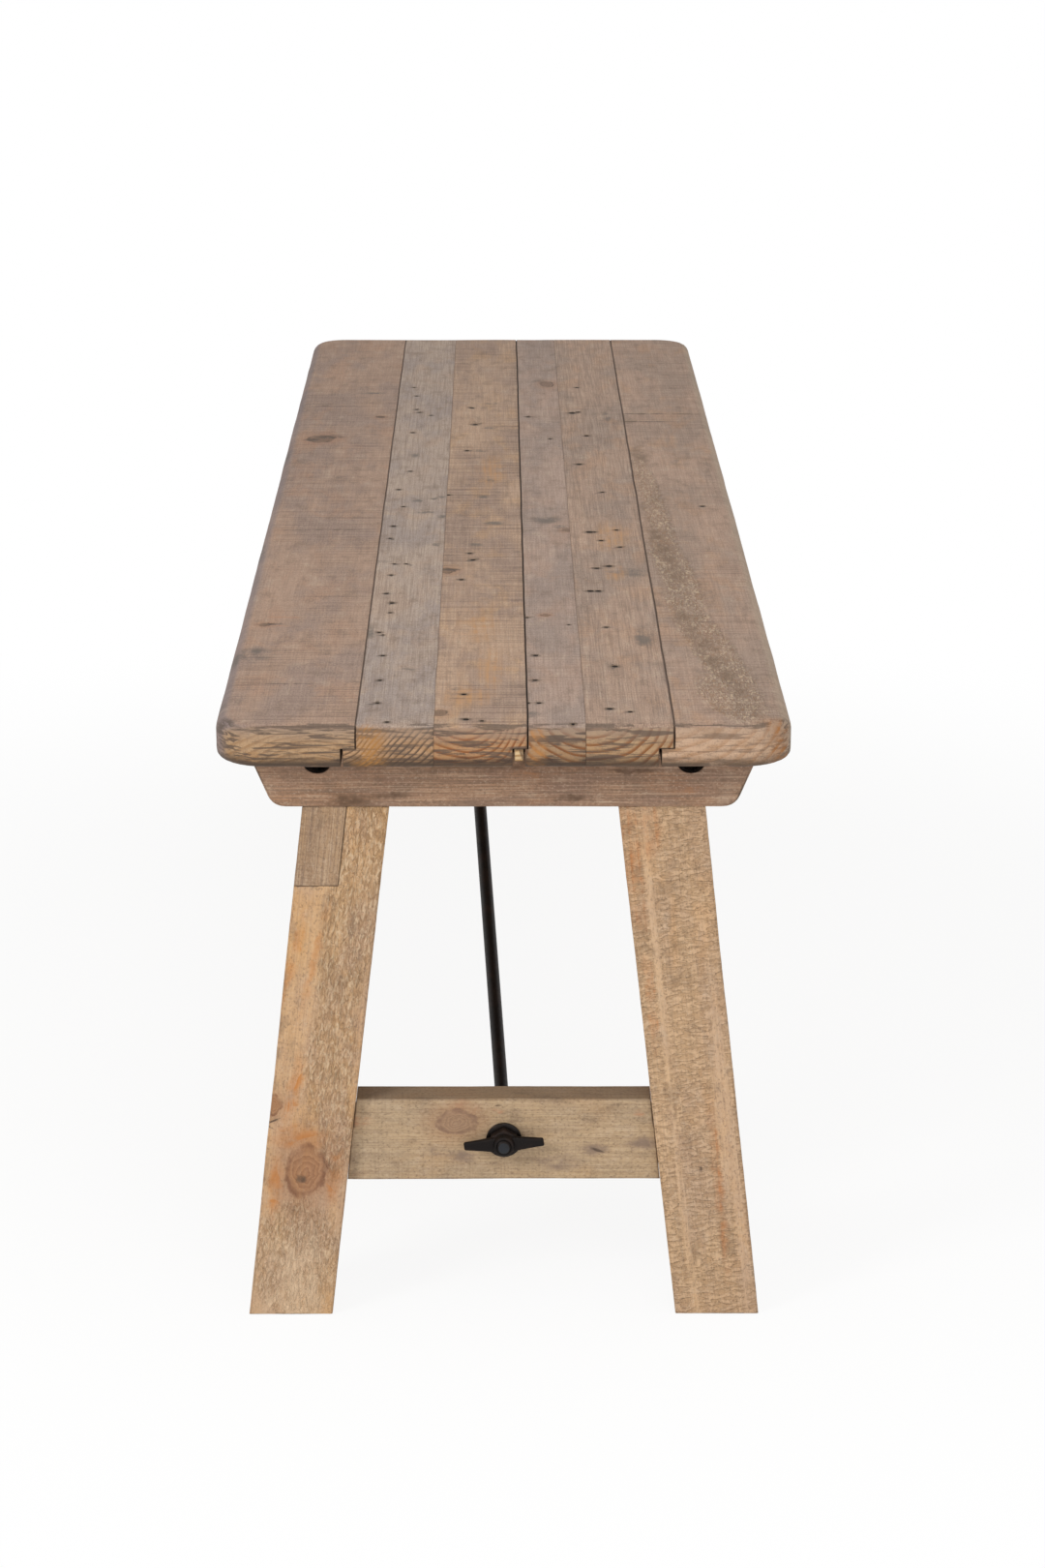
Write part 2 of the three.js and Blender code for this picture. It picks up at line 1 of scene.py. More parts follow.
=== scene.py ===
# %% [markdown]
# # A monks bench of reclaimed pine and iron
# The bench is a seat of old boards on two splayed trestles. A bent iron rod runs from each trestle
# up to the middle of the seat, and a cast wing nut draws it tight.
# The construction comes from the CAD model, so nothing is measured again here: every place below is
# worked out from the boxes of the CAD nodes. This lesson only gives the pieces their wear and finish.

# %% Load the frame
from collections import namedtuple
from contextlib import contextmanager
from math import cos, degrees, radians, sin, tan

import bpy
from mathutils import Euler, Matrix, Vector


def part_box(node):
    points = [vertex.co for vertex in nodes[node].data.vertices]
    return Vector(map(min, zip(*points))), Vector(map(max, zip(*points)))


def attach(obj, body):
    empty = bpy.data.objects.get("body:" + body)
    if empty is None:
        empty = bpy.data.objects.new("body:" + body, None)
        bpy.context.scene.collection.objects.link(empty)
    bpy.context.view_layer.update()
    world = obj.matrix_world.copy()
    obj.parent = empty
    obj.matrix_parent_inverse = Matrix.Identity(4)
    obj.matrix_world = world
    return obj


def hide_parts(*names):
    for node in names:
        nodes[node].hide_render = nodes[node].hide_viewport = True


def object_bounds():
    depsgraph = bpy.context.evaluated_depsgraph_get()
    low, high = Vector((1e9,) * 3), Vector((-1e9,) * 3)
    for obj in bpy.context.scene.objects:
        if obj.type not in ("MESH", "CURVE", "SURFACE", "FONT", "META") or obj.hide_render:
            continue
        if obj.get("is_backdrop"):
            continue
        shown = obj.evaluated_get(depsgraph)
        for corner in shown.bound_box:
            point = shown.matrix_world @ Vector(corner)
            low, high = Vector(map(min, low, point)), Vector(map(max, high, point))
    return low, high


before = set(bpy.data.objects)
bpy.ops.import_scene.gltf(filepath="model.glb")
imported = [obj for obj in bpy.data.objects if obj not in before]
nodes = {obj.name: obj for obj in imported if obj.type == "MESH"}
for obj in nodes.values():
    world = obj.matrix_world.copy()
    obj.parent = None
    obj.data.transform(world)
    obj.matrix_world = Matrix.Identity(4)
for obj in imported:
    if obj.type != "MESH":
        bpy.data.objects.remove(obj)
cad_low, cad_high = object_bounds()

MM = 0.001


def in_mm(lengths):
    """Lengths in millimetres, to be printed."""
    return [round(each / MM, 1) for each in lengths]


print("CAD box in mm:", in_mm(cad_high - cad_low))

# %% [markdown]
# ## The camera
# The photograph was taken from a little above the seat, straight along it, with a long lens: the
# seat's sides run together slowly. A wide lens close by would frame the bench too, but its near end
# would look swollen. So the camera stands well back, and its tilt and lens come from the seat's
# vanishing point and from the height of the near end in the picture.

# %% Camera
PHOTO_HEIGHT_PX = 1620
FOCAL_PX = 3800
CAMERA_BACK = 2421 * MM
CAMERA_HEIGHT = 1162 * MM
CAMERA_SIDE = -5 * MM
CAMERA_PITCH = radians(90 - 17.06)
CAMERA_YAW = radians(-0.42)
CAMERA_ROLL = radians(0.08)
SENSOR_WIDTH = 36


def new_object(name, data):
    """A new object in the scene."""
    made = bpy.data.objects.new(name, data)
    bpy.context.scene.collection.objects.link(made)
    return made


camera_data = bpy.data.cameras.new("camera")
camera_data.sensor_width = SENSOR_WIDTH
camera_data.lens = SENSOR_WIDTH * FOCAL_PX / PHOTO_HEIGHT_PX
camera = new_object("camera", camera_data)
aim = Matrix.Identity(3)
for angle, axis in ((CAMERA_YAW, "Z"), (CAMERA_PITCH, "X"), (CAMERA_ROLL, "Z")):
    aim = aim @ Matrix.Rotation(angle, 3, axis)
camera.rotation_euler = aim.to_euler()
camera.location = (CAMERA_SIDE, cad_low.y - CAMERA_BACK, CAMERA_HEIGHT)
bpy.context.scene.camera = camera
print("lens in mm:", round(camera_data.lens, 1))

# %% [markdown]
# ## Nodes with one helper
# A material is a tree of nodes. One small function adds a node, sets its fields, links its inputs
# and hands back the output that the next node needs, so a tree reads from top to bottom.
# Colours are written as the hex values that a picker shows (sRGB) and turned to linear light once.


# %% Helpers for materials
def linear(code):
    """An sRGB hex colour as linear red, green, blue and alpha."""
    channels = [int(code[place:place + 2], 16) / 255 for place in (0, 2, 4)]
    return [c / 12.92 if c <= 0.04045 else ((c + 0.055) / 1.055) ** 2.4 for c in channels] + [1]


def add(tree, kind, inputs=None, out=0, **fields):
    """Adds a node, fills its inputs with values or links, and returns one of its outputs."""
    made = tree.nodes.new("ShaderNode" + kind)
    for name, value in fields.items():
        setattr(made, name, value)
    for socket, value in (inputs or {}).items():
        if isinstance(value, bpy.types.NodeSocket):
            tree.links.new(value, made.inputs[socket])
        else:
            made.inputs[socket].default_value = value
    return made.outputs[out]


def new_material(name):
    """An empty material, its tree, and the surface socket that its shader goes to."""
    made = bpy.data.materials.new(name)
    made.use_nodes = True
    made.node_tree.nodes.clear()
    end = made.node_tree.nodes.new("ShaderNodeOutputMaterial")
    return made, made.node_tree, end.inputs["Surface"]


# %% Settings that many nodes share
SMOOTH = dict(interpolation_type="SMOOTHSTEP")
COLOUR = dict(out=2, data_type="RGBA")
TIMES = dict(operation="MULTIPLY")
TIMES_ADD = dict(operation="MULTIPLY_ADD")

# %% [markdown]
# ## The studio
# The bench stands on a pale floor in a white room. Raising the lamps until the floor burns out would
# also bleach the wood, so the white is painted instead: where the camera or a reflection looks at the
# floor or the sky it sees white, and only a faint part of the floor is real, which keeps the shadow.

# %% Floor and sky
FLOOR_SIZE = 60
FLOOR_DROP = 0.6 * MM
SHADOW_SHARE = 0.12
SHADOW_REACH = (0.45, 1.3)
SKY_LEVEL = 0.5


def seen_directly(tree):
    """1 for camera, glossy and transmission rays, which see the painted white."""
    seen = 0
    for ray in ("Is Camera Ray", "Is Glossy Ray", "Is Transmission Ray"):
        seen = add(tree, "Math", {0: seen, 1: add(tree, "LightPath", out=ray)}, operation="MAXIMUM")
    return seen


bpy.ops.mesh.primitive_plane_add(size=FLOOR_SIZE, location=(0, 0, cad_low.z - FLOOR_DROP))
floor = bpy.context.object
floor.name = "floor"
floor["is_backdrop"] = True
# Matt white paint gives the eye nothing but the faint shadow under the feet
studio_white, tree, surface = new_material("matt_white_studio_floor")
paint = add(tree, "BsdfDiffuse", {"Color": linear("f2f1ef")})
glow = add(tree, "Emission", {"Color": linear("ffffff"), "Strength": 1})
seen = add(tree, "TexCoord", out="Object")
from_bench = add(tree, "VectorMath", {0: seen}, out="Value", operation="LENGTH")
white = add(tree, "MapRange", {0: from_bench, 1: SHADOW_REACH[0], 2: SHADOW_REACH[1], 3: 1 - SHADOW_SHARE},
            **SMOOTH)
share = add(tree, "Math", {0: seen_directly(tree), 1: white}, **TIMES)
tree.links.new(add(tree, "MixShader", {0: share, 1: paint, 2: glow}), surface)
floor.data.materials.append(studio_white)

world = bpy.data.worlds.new("white_room")
world.use_nodes = True
world.node_tree.nodes.clear()
sky_end = world.node_tree.nodes.new("ShaderNodeOutputWorld")
tree = world.node_tree
light_sky = add(tree, "Background", {"Color": linear("fbfaf8"), "Strength": SKY_LEVEL})
seen_sky = add(tree, "Background", {"Color": linear("ffffff"), "Strength": 1})
tree.links.new(add(tree, "MixShader", {0: seen_directly(tree), 1: light_sky, 2: seen_sky}), sky_end.inputs[0])
bpy.context.scene.world = world
bpy.context.scene.view_settings.view_transform = "Standard"

# %% [markdown]
# Three soft lamps. A wide one hangs over the seat, a smaller one stands high on the left and rakes
# across the rough faces, so that their relief shows, and a weak one beside the camera fills the
# trestle's front. Small lamps would draw hard shadows that the photograph lacks.


# %% Lamps
def softbox(name, place, target, size, power):
    """A square area lamp at a place, aimed at a target."""
    data = bpy.data.lights.new(name, "AREA")
    data.size = size
    data.energy = power
    lamp = new_object(name, data)
    lamp.location = place
    lamp.rotation_euler = (Vector(target) - Vector(place)).to_track_quat("-Z", "Y").to_euler()


softbox("lamp_over_the_seat", (0.3, -0.85, 2.8), (0, -0.45, 0.4), 2.2, 19)
softbox("raking_lamp_on_the_left", (-2.1, -2.5, 2.0), (0, -0.6, 0.3), 0.9, 46)
softbox("lamp_by_the_camera", (0.9, -3.4, 0.9), (0, -0.7, 0.3), 1.6, 24)
print("lamps:", [each.name for each in bpy.data.lights])

# %% [markdown]
# ## Reclaimed pine
# Old pine boards, planed lightly so that saw marks, knots, nail holes and wear stay, then waxed.
# Pine has pale early wood and thin, darker late wood in each yearly ring. The rings are real
# cylinders round the heart of the tree, so the pattern is made in three dimensions: lines along the
# board on its face and arcs on its end come from the same formula, and always meet at the arris.
# A flat picture of wood would be quicker, but it would slide over the ends.
#
# Everything is measured in millimetres in the board's own axes: X across it, Y along the grain and Z
# through it. A Mapping node centres and turns those axes on each piece.

# %% Sizes of the marks in the wood
# Each mark: its size across, along and through the wood in mm, then detail, roughness, distortion
MARKS = {
    "waves": (70, 420, 70, 2, 0.5, 0),
    "outline": (7, 9, 7, 3, 0.6, 0),
    "patina": (42, 130, 42, 4, 0.62, 0),
    "blush": (28, 75, 28, 3, 0.6, 0.4),
    "cloud": (13, 24, 13, 4, 0.65, 0),
    "fibre": (0.9, 60, 0.9, 4, 0.6, 0),
    "speckle": (1.5, 2.4, 1.5, 2, 0.7, 0),
    "saw lines": (150, 2.2, 150, 3, 0.55, 0),
    "saw patches": (55, 150, 55, 2, 0.5, 0),
    "torn ridges": (2.3, 7.5, 2.3, 3, 0.55, 1.3),
    "torn bands": (14, 240, 14, 2, 0.5, 0),
    "ladder rungs": (7, 2.6, 7, 2, 0.5, 0.5),
    "ladder rows": (8, 300, 8, 1, 0.5, 0),
    "end streaks": (36, 12, 2.6, 4, 0.65, 0.6),
    "end blots": (17, 15, 6, 4, 0.65, 0),
}
# These push places about, so they are read as a way and not as an amount
MARKS_WITH_A_WAY = ("waves", "outline")
# How far apart in mm the pieces are cut from the patterns, and a depth that no board reaches
STRETCH_STEP = 13
ANY_DEPTH = 1e4


def wood_marks(tree, place):
    """All the marks of one piece of wood. Each piece is cut from another stretch of the patterns."""
    stretch = STRETCH_STEP * len(bpy.data.materials)
    made = {}
    for mark, (across, along, through, detail, roughness, distortion) in MARKS.items():
        spot = add(tree, "Mapping", {"Vector": place, "Location": (stretch, 0, stretch),
                                     "Scale": (1 / across, 1 / along, 1 / through)})
        settings = {"Vector": spot, "Scale": 1, "Detail": detail, "Roughness": roughness}
        made[mark] = add(tree, "TexNoise", settings | {"Distortion": distortion},
                         out="Color" if mark in MARKS_WITH_A_WAY else "Fac")
    return made


# %% Spots: knots, nail holes and stains
def nearest_spot(tree, place, spots):
    """Distance to the nearest spot, 1 on its rim. A spot is its place across and along and its half
    width, all in mm, and where it isn't round its half length and how far it leans, in degrees."""
    nearest = None
    for across, along, half_width, *more in spots:
        half_length, *lean = more or [half_width]
        local = add(tree, "Mapping", {"Vector": place, "Location": (across, along, 0),
                                      "Rotation": (0, 0, radians(sum(lean))),
                                      "Scale": (half_width, half_length, ANY_DEPTH)}, vector_type="TEXTURE")
        distance = add(tree, "VectorMath", {0: local}, out="Value", operation="LENGTH")
        if nearest:
            distance = add(tree, "Math", {0: nearest, 1: distance}, operation="MINIMUM")
        nearest = distance
    return nearest


def pushed(tree, place, noise, reach):
    """The place, pushed about by a noise by up to half the reach in mm, so that no outline is even."""
    push = add(tree, "VectorMath", {0: noise, 1: (0.5, 0.5, 0.5)}, operation="SUBTRACT")
    return add(tree, "VectorMath", {0: push, 1: reach, 2: place}, operation="MULTIPLY_ADD")


# %% Yearly rings
RING_WAVES = (26, 0, 14)
TAPER = 0.012
KNOT_REACH = 3
YEARS_ROUND_A_KNOT = 4
LATE_WOOD_POWER = 3


def late_wood(tree, place, marks, heart, ring, knot):
    """0 in early wood, rising to 1 in late wood: cylinders round the heart, bent by slow waves, by the
    log's taper and by the nearest knot."""
    out = pushed(tree, place, marks["waves"], RING_WAVES)
    out = add(tree, "VectorMath", {0: out, 1: (heart[0], 0, heart[1])}, operation="SUBTRACT")
    out = add(tree, "VectorMath", {0: out, 1: (1, 0, 1)}, operation="MULTIPLY")
    radius = add(tree, "VectorMath", {0: out}, out="Value", operation="LENGTH")
    along = add(tree, "SeparateXYZ", {0: place}, out="Y")
    radius = add(tree, "Math", {0: along, 1: TAPER, 2: radius}, **TIMES_ADD)
    if knot:
        swirl = add(tree, "MapRange", {0: knot, 1: KNOT_REACH, 2: 0, 4: YEARS_ROUND_A_KNOT * ring}, **SMOOTH)
        radius = add(tree, "Math", {0: radius, 1: swirl}, operation="ADD")
    years = add(tree, "Math", {0: radius, 1: 1 / ring}, **TIMES)
    year = add(tree, "Math", {0: years}, operation="FRACT")
    return add(tree, "Math", {0: year, 1: LATE_WOOD_POWER}, operation="POWER")


# %% The way a face looks
def looking(tree, turn, way, both=False):
    """1 where the surface looks along a way given in the wood's own axes, less as it turns from it."""
    normal = add(tree, "TexCoord", out="Normal")
    towards = Euler(turn).to_matrix() @ Vector(way)
    share = add(tree, "VectorMath", {0: normal, 1: towards}, out="Value", operation="DOT_PRODUCT")
    return add(tree, "Math", {0: share}, operation="ABSOLUTE") if both else share


def rolling(tree, looks, done, mark, patches):
    """1 where the surface hasn't yet rolled over, in the patches of a mark."""
    before = add(tree, "MapRange", {0: looks, 1: done[1], 2: done[0]}, **SMOOTH)
    broken = add(tree, "MapRange", {0: mark, 1: patches[0], 2: patches[1]}, **SMOOTH)
    return add(tree, "Math", {0: before, 1: broken}, **TIMES)


# %% Layers of colour and height
# A layer is a mark, the values where it begins and where it is full, its tone and the tone's share,
# how far it raises the surface in mm, and a second mark that breaks it up
Layer = namedtuple("Layer", "mark low high tone share rise broken", defaults=(0, None))


def lay(tree, colour, height, layers):
    """Lays marks over the wood, one thin layer on the other."""
    for layer in layers:
        amount = add(tree, "MapRange", {0: layer.mark, 1: layer.low, 2: layer.high}, **SMOOTH)
        if layer.broken:
            amount = add(tree, "Math", {0: amount, 1: layer.broken}, **TIMES)
        if layer.rise:
            height = add(tree, "Math", {0: amount, 1: layer.rise, 2: height}, **TIMES_ADD)
        share = add(tree, "Math", {0: amount, 1: layer.share}, **TIMES)
        colour = add(tree, "Mix", {0: share, 6: colour, 7: linear(layer.tone)}, **COLOUR)
    return colour, height


# %% The marks that lie all over the wood
DIRT = "6b5848"
PALE_FIBRE = "c2ad96"
DARK_FIBRE = "776253"
SAW_DIRT = "6a5344"
# Painted shade for the hollows of torn fibres and chatter, and a painted highlight for the torn crests
SHADE_IN_HOLLOWS = "8f6d4a"
HIGHLIGHT_ON_CRESTS = "cfb595"


def weathered(marks, patina, blush, streaks):
    """What years of light, hands and floors have left."""
    return [
        Layer(marks["patina"], 0.4, 0.62, patina, 0.9),
        Layer(marks["blush"], 0.5, 0.68, blush, 0.55),
        Layer(marks["cloud"], 0.5, 0.7, DIRT, 0.42),
        Layer(marks["cloud"], 0.46, 0.3, PALE_FIBRE, 0.3),
        Layer(marks["fibre"], 0.58, 0.34, DARK_FIBRE, streaks),
        Layer(marks["fibre"], 0.54, 0.7, PALE_FIBRE, streaks * 0.6),
        Layer(marks["speckle"], 0.53, 0.68, DIRT, 0.5),
        Layer(marks["speckle"], 0.44, 0.3, PALE_FIBRE, 0.35),
    ]


def torn_zone(tree, place, marks, torn, torn_at):
    """Where the saw tore the fibres: at the places given, or else in long bands."""
    if torn_at:
        near = nearest_spot(tree, pushed(tree, place, marks["outline"], (12, 12, 0)), torn_at)
        return add(tree, "MapRange", {0: near, 1: 1.15, 2: 0.75, 4: torn}, **SMOOTH)
    return add(tree, "MapRange", {0: marks["torn bands"], 1: 0.46, 2: 0.62, 4: torn}, **SMOOTH)


def tool_marks(tree, marks, zone, saw, torn, ladder):
    """What the saw left: fine lines across the board, torn fibres along it, and rows of chatter."""
    patches = add(tree, "MapRange", {0: marks["saw patches"], 1: 0.4, 2: 0.6, 3: saw / 3, 4: saw}, **SMOOTH)
    layers = [Layer(marks["saw lines"], 0.49, 0.61, SAW_DIRT, 0.8, -0.16, patches)]
    if torn:
        # Painted shade in the torn hollows and a painted highlight on the crests
        layers += [Layer(marks["torn ridges"], 0.5, 0.4, SHADE_IN_HOLLOWS, 0.65, 0, zone),
                   Layer(marks["torn ridges"], 0.52, 0.64, HIGHLIGHT_ON_CRESTS, 0.8, 0, zone)]
    if ladder:
        rows = add(tree, "MapRange", {0: marks["ladder rows"], 1: 0.3, 2: 0.43, 4: ladder}, **SMOOTH)
        # Painted shade in the chatter's sunk rungs
        layers.append(Layer(marks["ladder rungs"], 0.42, 0.62, SHADE_IN_HOLLOWS, 0.36, -0.8, rows))
    return layers


# %% The cut ends
def end_grain(tree, place, marks, rings, end_tones, dirt):
    """The colour of the cut ends, which drink in wax and dirt. They are dusty near the top, where
    people sit, and painted shade makes them almost black along the lower edge."""
    through = add(tree, "SeparateXYZ", {0: place}, out="Z")
    through = add(tree, "Math", {0: marks["end blots"], 1: 16, 2: through}, **TIMES_ADD)
    colour, _ = lay(tree, linear(end_tones[0]), None, [
        Layer(rings, 0.03, 0.5, end_tones[1], 1),
        Layer(marks["end blots"], 0.48, 0.62, "8a6238", 0.4),
        Layer(marks["speckle"], 0.5, 0.66, DIRT, 0.35),
        Layer(through, 9, 21, "8b7869", 0.8 * dirt),
        Layer(marks["end streaks"], 0.49, 0.57, "55463c", dirt),
        # Painted shade: darker, almost black, towards the lower edge of the end
        Layer(through, 4, -3, "3a2b21", 0.9 * dirt),
    ])
    return colour


# %% Knots and the marks placed by hand
KNOT_HALO = "94694a"
NAIL_STAIN = "5b4a38"
CRACK = "4a3b31"
RINGS_IN_A_KNOT = 4.5


def spot_layers(tree, place, marks, rings, knots, knot_tones=("79604e", "46362b"), holes=(), cracks=(),
                grey=(), grey_tone="5f564e", amber=(), amber_tone="b4875a"):
    """Layers for the marks that have a place of their own."""
    uneven = pushed(tree, place, marks["outline"], (9, 9, 0))
    crisp = pushed(tree, place, marks["outline"], (1.6, 1.6, 0))
    cloudy = add(tree, "MapRange", {0: marks["cloud"], 1: 0.34, 2: 0.6}, **SMOOTH)
    layers = []
    if grey:
        layers.append(Layer(nearest_spot(tree, uneven, grey), 1.25, 0.3, grey_tone, 0.8, 0, cloudy))
    if amber:
        grained = add(tree, "MapRange", {0: rings, 1: 0.02, 2: 0.5, 3: 0.45})
        blotted = add(tree, "MapRange", {0: marks["end blots"], 1: 0.36, 2: 0.58, 3: 0.15}, **SMOOTH)
        grained = add(tree, "Math", {0: grained, 1: blotted}, **TIMES)
        layers.append(Layer(nearest_spot(tree, uneven, amber), 1.3, 0.3, amber_tone, 0.8, 0, grained))
    if knots:
        distance = nearest_spot(tree, uneven, knots)
        fibres = add(tree, "MapRange", {0: marks["fibre"], 1: 0.35, 2: 0.6, 3: 0.4})
        swirl = add(tree, "Math", {0: distance, 1: RINGS_IN_A_KNOT}, **TIMES)
        swirl = add(tree, "Math", {0: swirl}, operation="FRACT")
        from_rim = add(tree, "Math", {0: distance, 1: 0.97}, operation="SUBTRACT")
        from_rim = add(tree, "Math", {0: from_rim}, operation="ABSOLUTE")
        layers += [Layer(distance, 2.6, 0.8, KNOT_HALO, 0.4),
                   Layer(distance, 1.2, 0.6, knot_tones[0], 0.65, 0, fibres),
                   Layer(distance, 1.05, 0.7, knot_tones[1], 0.55, 0, swirl),
                   Layer(from_rim, 0.2, 0.03, knot_tones[1], 0.75, -0.15, cloudy)]
    if cracks:
        layers.append(Layer(nearest_spot(tree, crisp, cracks), 1.4, 0.5, CRACK, 0.85, -0.34, cloudy))
    if holes:
        layers.append(Layer(nearest_spot(tree, crisp, holes), 2.6, 0.9, NAIL_STAIN, 0.7))
    return layers


# %% The pine finish
WORN_LINE = "54473d"
ROLLED_UNDER_SHADE = "4e4034"
# Painted shade for faces that roll under towards the underside
ARRIS_DIRT = "5a4636"
RING_RISE = 0.06
FIBRE_RISE = 0.12
SPECKLE_RISE = 0.1
RIDGE_RISE = 3.4


# Waxed old pine gives the eye a warm, dry brown with a low sheen: fine lines that always run with the
# grain, grey and dark patches where hands and floors have been, and black pits where nails were
def pine(name, centre, turn, tones, end_tones, heart, ring=3.2, contrast=0.4, streaks=0.4, saw=0.3, torn=0.1,
         torn_at=(), ladder=0, knots=(), end_dirt_and_shade=0.75, lower_edge_shade=0.7, edges=(), wear_from=0.93, **spots):
    """Reclaimed pine. tones are early wood, late wood, weathered patina and a warm blush; heart is where
    the log's middle lies from the piece's, in mm across and through it; ring is the yearly growth in
    mm. edges are faces that get painted shade or painted light by the way they face: the way they look
    and how nearly, the tone and its share. spots are the marks with a place of their own."""
    material, tree, surface = new_material(name)
    seen = add(tree, "TexCoord", out="Object")
    place = add(tree, "Mapping", {"Vector": seen, "Location": centre, "Rotation": turn, "Scale": [MM] * 3},
                vector_type="TEXTURE")
    marks = wood_marks(tree, place)
    rings = late_wood(tree, place, marks, heart, ring, nearest_spot(tree, place, knots) if knots else None)
    zone = torn_zone(tree, place, marks, torn, torn_at)
    at_end = looking(tree, turn, (0, 1, 0), both=True)
    below = looking(tree, turn, (0, 0, -1))

    # The fresh wood
    amount = add(tree, "Math", {0: rings, 1: contrast}, **TIMES)
    colour = add(tree, "Mix", {0: amount, 6: linear(tones[0]), 7: linear(tones[1])}, **COLOUR)
    height = add(tree, "Math", {0: amount, 1: RING_RISE}, **TIMES)
    height = add(tree, "Math", {0: marks["fibre"], 1: FIBRE_RISE, 2: height}, **TIMES_ADD)
    height = add(tree, "Math", {0: marks["speckle"], 1: SPECKLE_RISE, 2: height}, **TIMES_ADD)
    if torn:
        ridges = add(tree, "Math", {0: marks["torn ridges"], 1: zone}, **TIMES)
        height = add(tree, "Math", {0: ridges, 1: RIDGE_RISE, 2: height}, **TIMES_ADD)

    # What lies on its faces, what soaks into its ends, then the marks that run over both
    layers = weathered(marks, tones[2], tones[3], streaks) + tool_marks(tree, marks, zone, saw, torn, ladder)
    layers += [Layer(looking(tree, turn, way), *how_and_tone) for way, *how_and_tone in edges]
    colour, height = lay(tree, colour, height, layers)
    is_end = add(tree, "MapRange", {0: at_end, 1: 0.42, 2: 0.74}, **SMOOTH)
    end_colour = end_grain(tree, place, marks, rings, end_tones, end_dirt_and_shade)
    colour = add(tree, "Mix", {0: is_end, 6: colour, 7: end_colour}, **COLOUR)
    before_end = rolling(tree, at_end, (0.45, 0.8), marks["end streaks"], (0.46, 0.56))
    before_underside = rolling(tree, below, (0.8, 0.97), marks["cloud"], (0.3, 0.5))
    # The second layer is painted shade: it darkens faces that roll under, short of the flat underside
    layers = [Layer(at_end, 0.06, 0.3, WORN_LINE, 0.75, -0.15, before_end),
              Layer(below, 0.1, 0.5, ROLLED_UNDER_SHADE, lower_edge_shade, 0, before_underside)]
    layers += spot_layers(tree, place, marks, rings, knots, **spots)
    arris = add(tree, "Attribute", out="Fac", attribute_name="arris")
    layers.append(Layer(arris, wear_from, 1, ARRIS_DIRT, 1.25, 0, marks["cloud"]))
    colour, height = lay(tree, colour, height, layers)

    bumps = add(tree, "Bump", {"Height": height, "Strength": 1, "Distance": MM})
    rough = add(tree, "MapRange", {0: marks["patina"], 3: 0.6, 4: 0.8})
    shader = add(tree, "BsdfPrincipled", {"Base Color": colour, "Roughness": rough, "Normal": bumps,
                                          "Specular IOR Level": 0.3})
    tree.links.new(shader, surface)
    return material

# %% [markdown]
# ## The seat boards
# Six pieces of wood: two outer boards, and two inner boards that are each glued up from two strips.
# A seventh, a loose filler strip, lies in the middle lap. The boards come from different trees, so each
# has its own colour, rings, knots and nail holes. The marks are placed as shares of each board,
# as a restorer would note them in a survey.

# %% Finishes of the seat boards
ALONG_Y = (0, 0, 0)
SPOT_KINDS = ("knots", "holes", "cracks", "grey", "amber", "torn_at")
LAP_SHADE = "33271f"
OLD_KNOT = ("6a533e", "382b21")
# Painted shade: board sides that meet a neighbour in a lap are darkened almost black
IN_A_LAP = [((side, 0, 0), 0.75, 0.95, LAP_SHADE, 0.85) for side in (-1, 1)]
MOST_BOARDS = dict(torn=0, edges=IN_A_LAP)


def middle_of(node):
    low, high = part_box(node)
    return (low + high) / 2


def placed(node, shares):
    """Spots given as shares of a board's half width and half length, in mm from its middle."""
    low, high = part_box(node)
    half = (high - low) / 2 / MM
    return [(across * half.x, along * half.y, *size) for across, along, *size in shares]


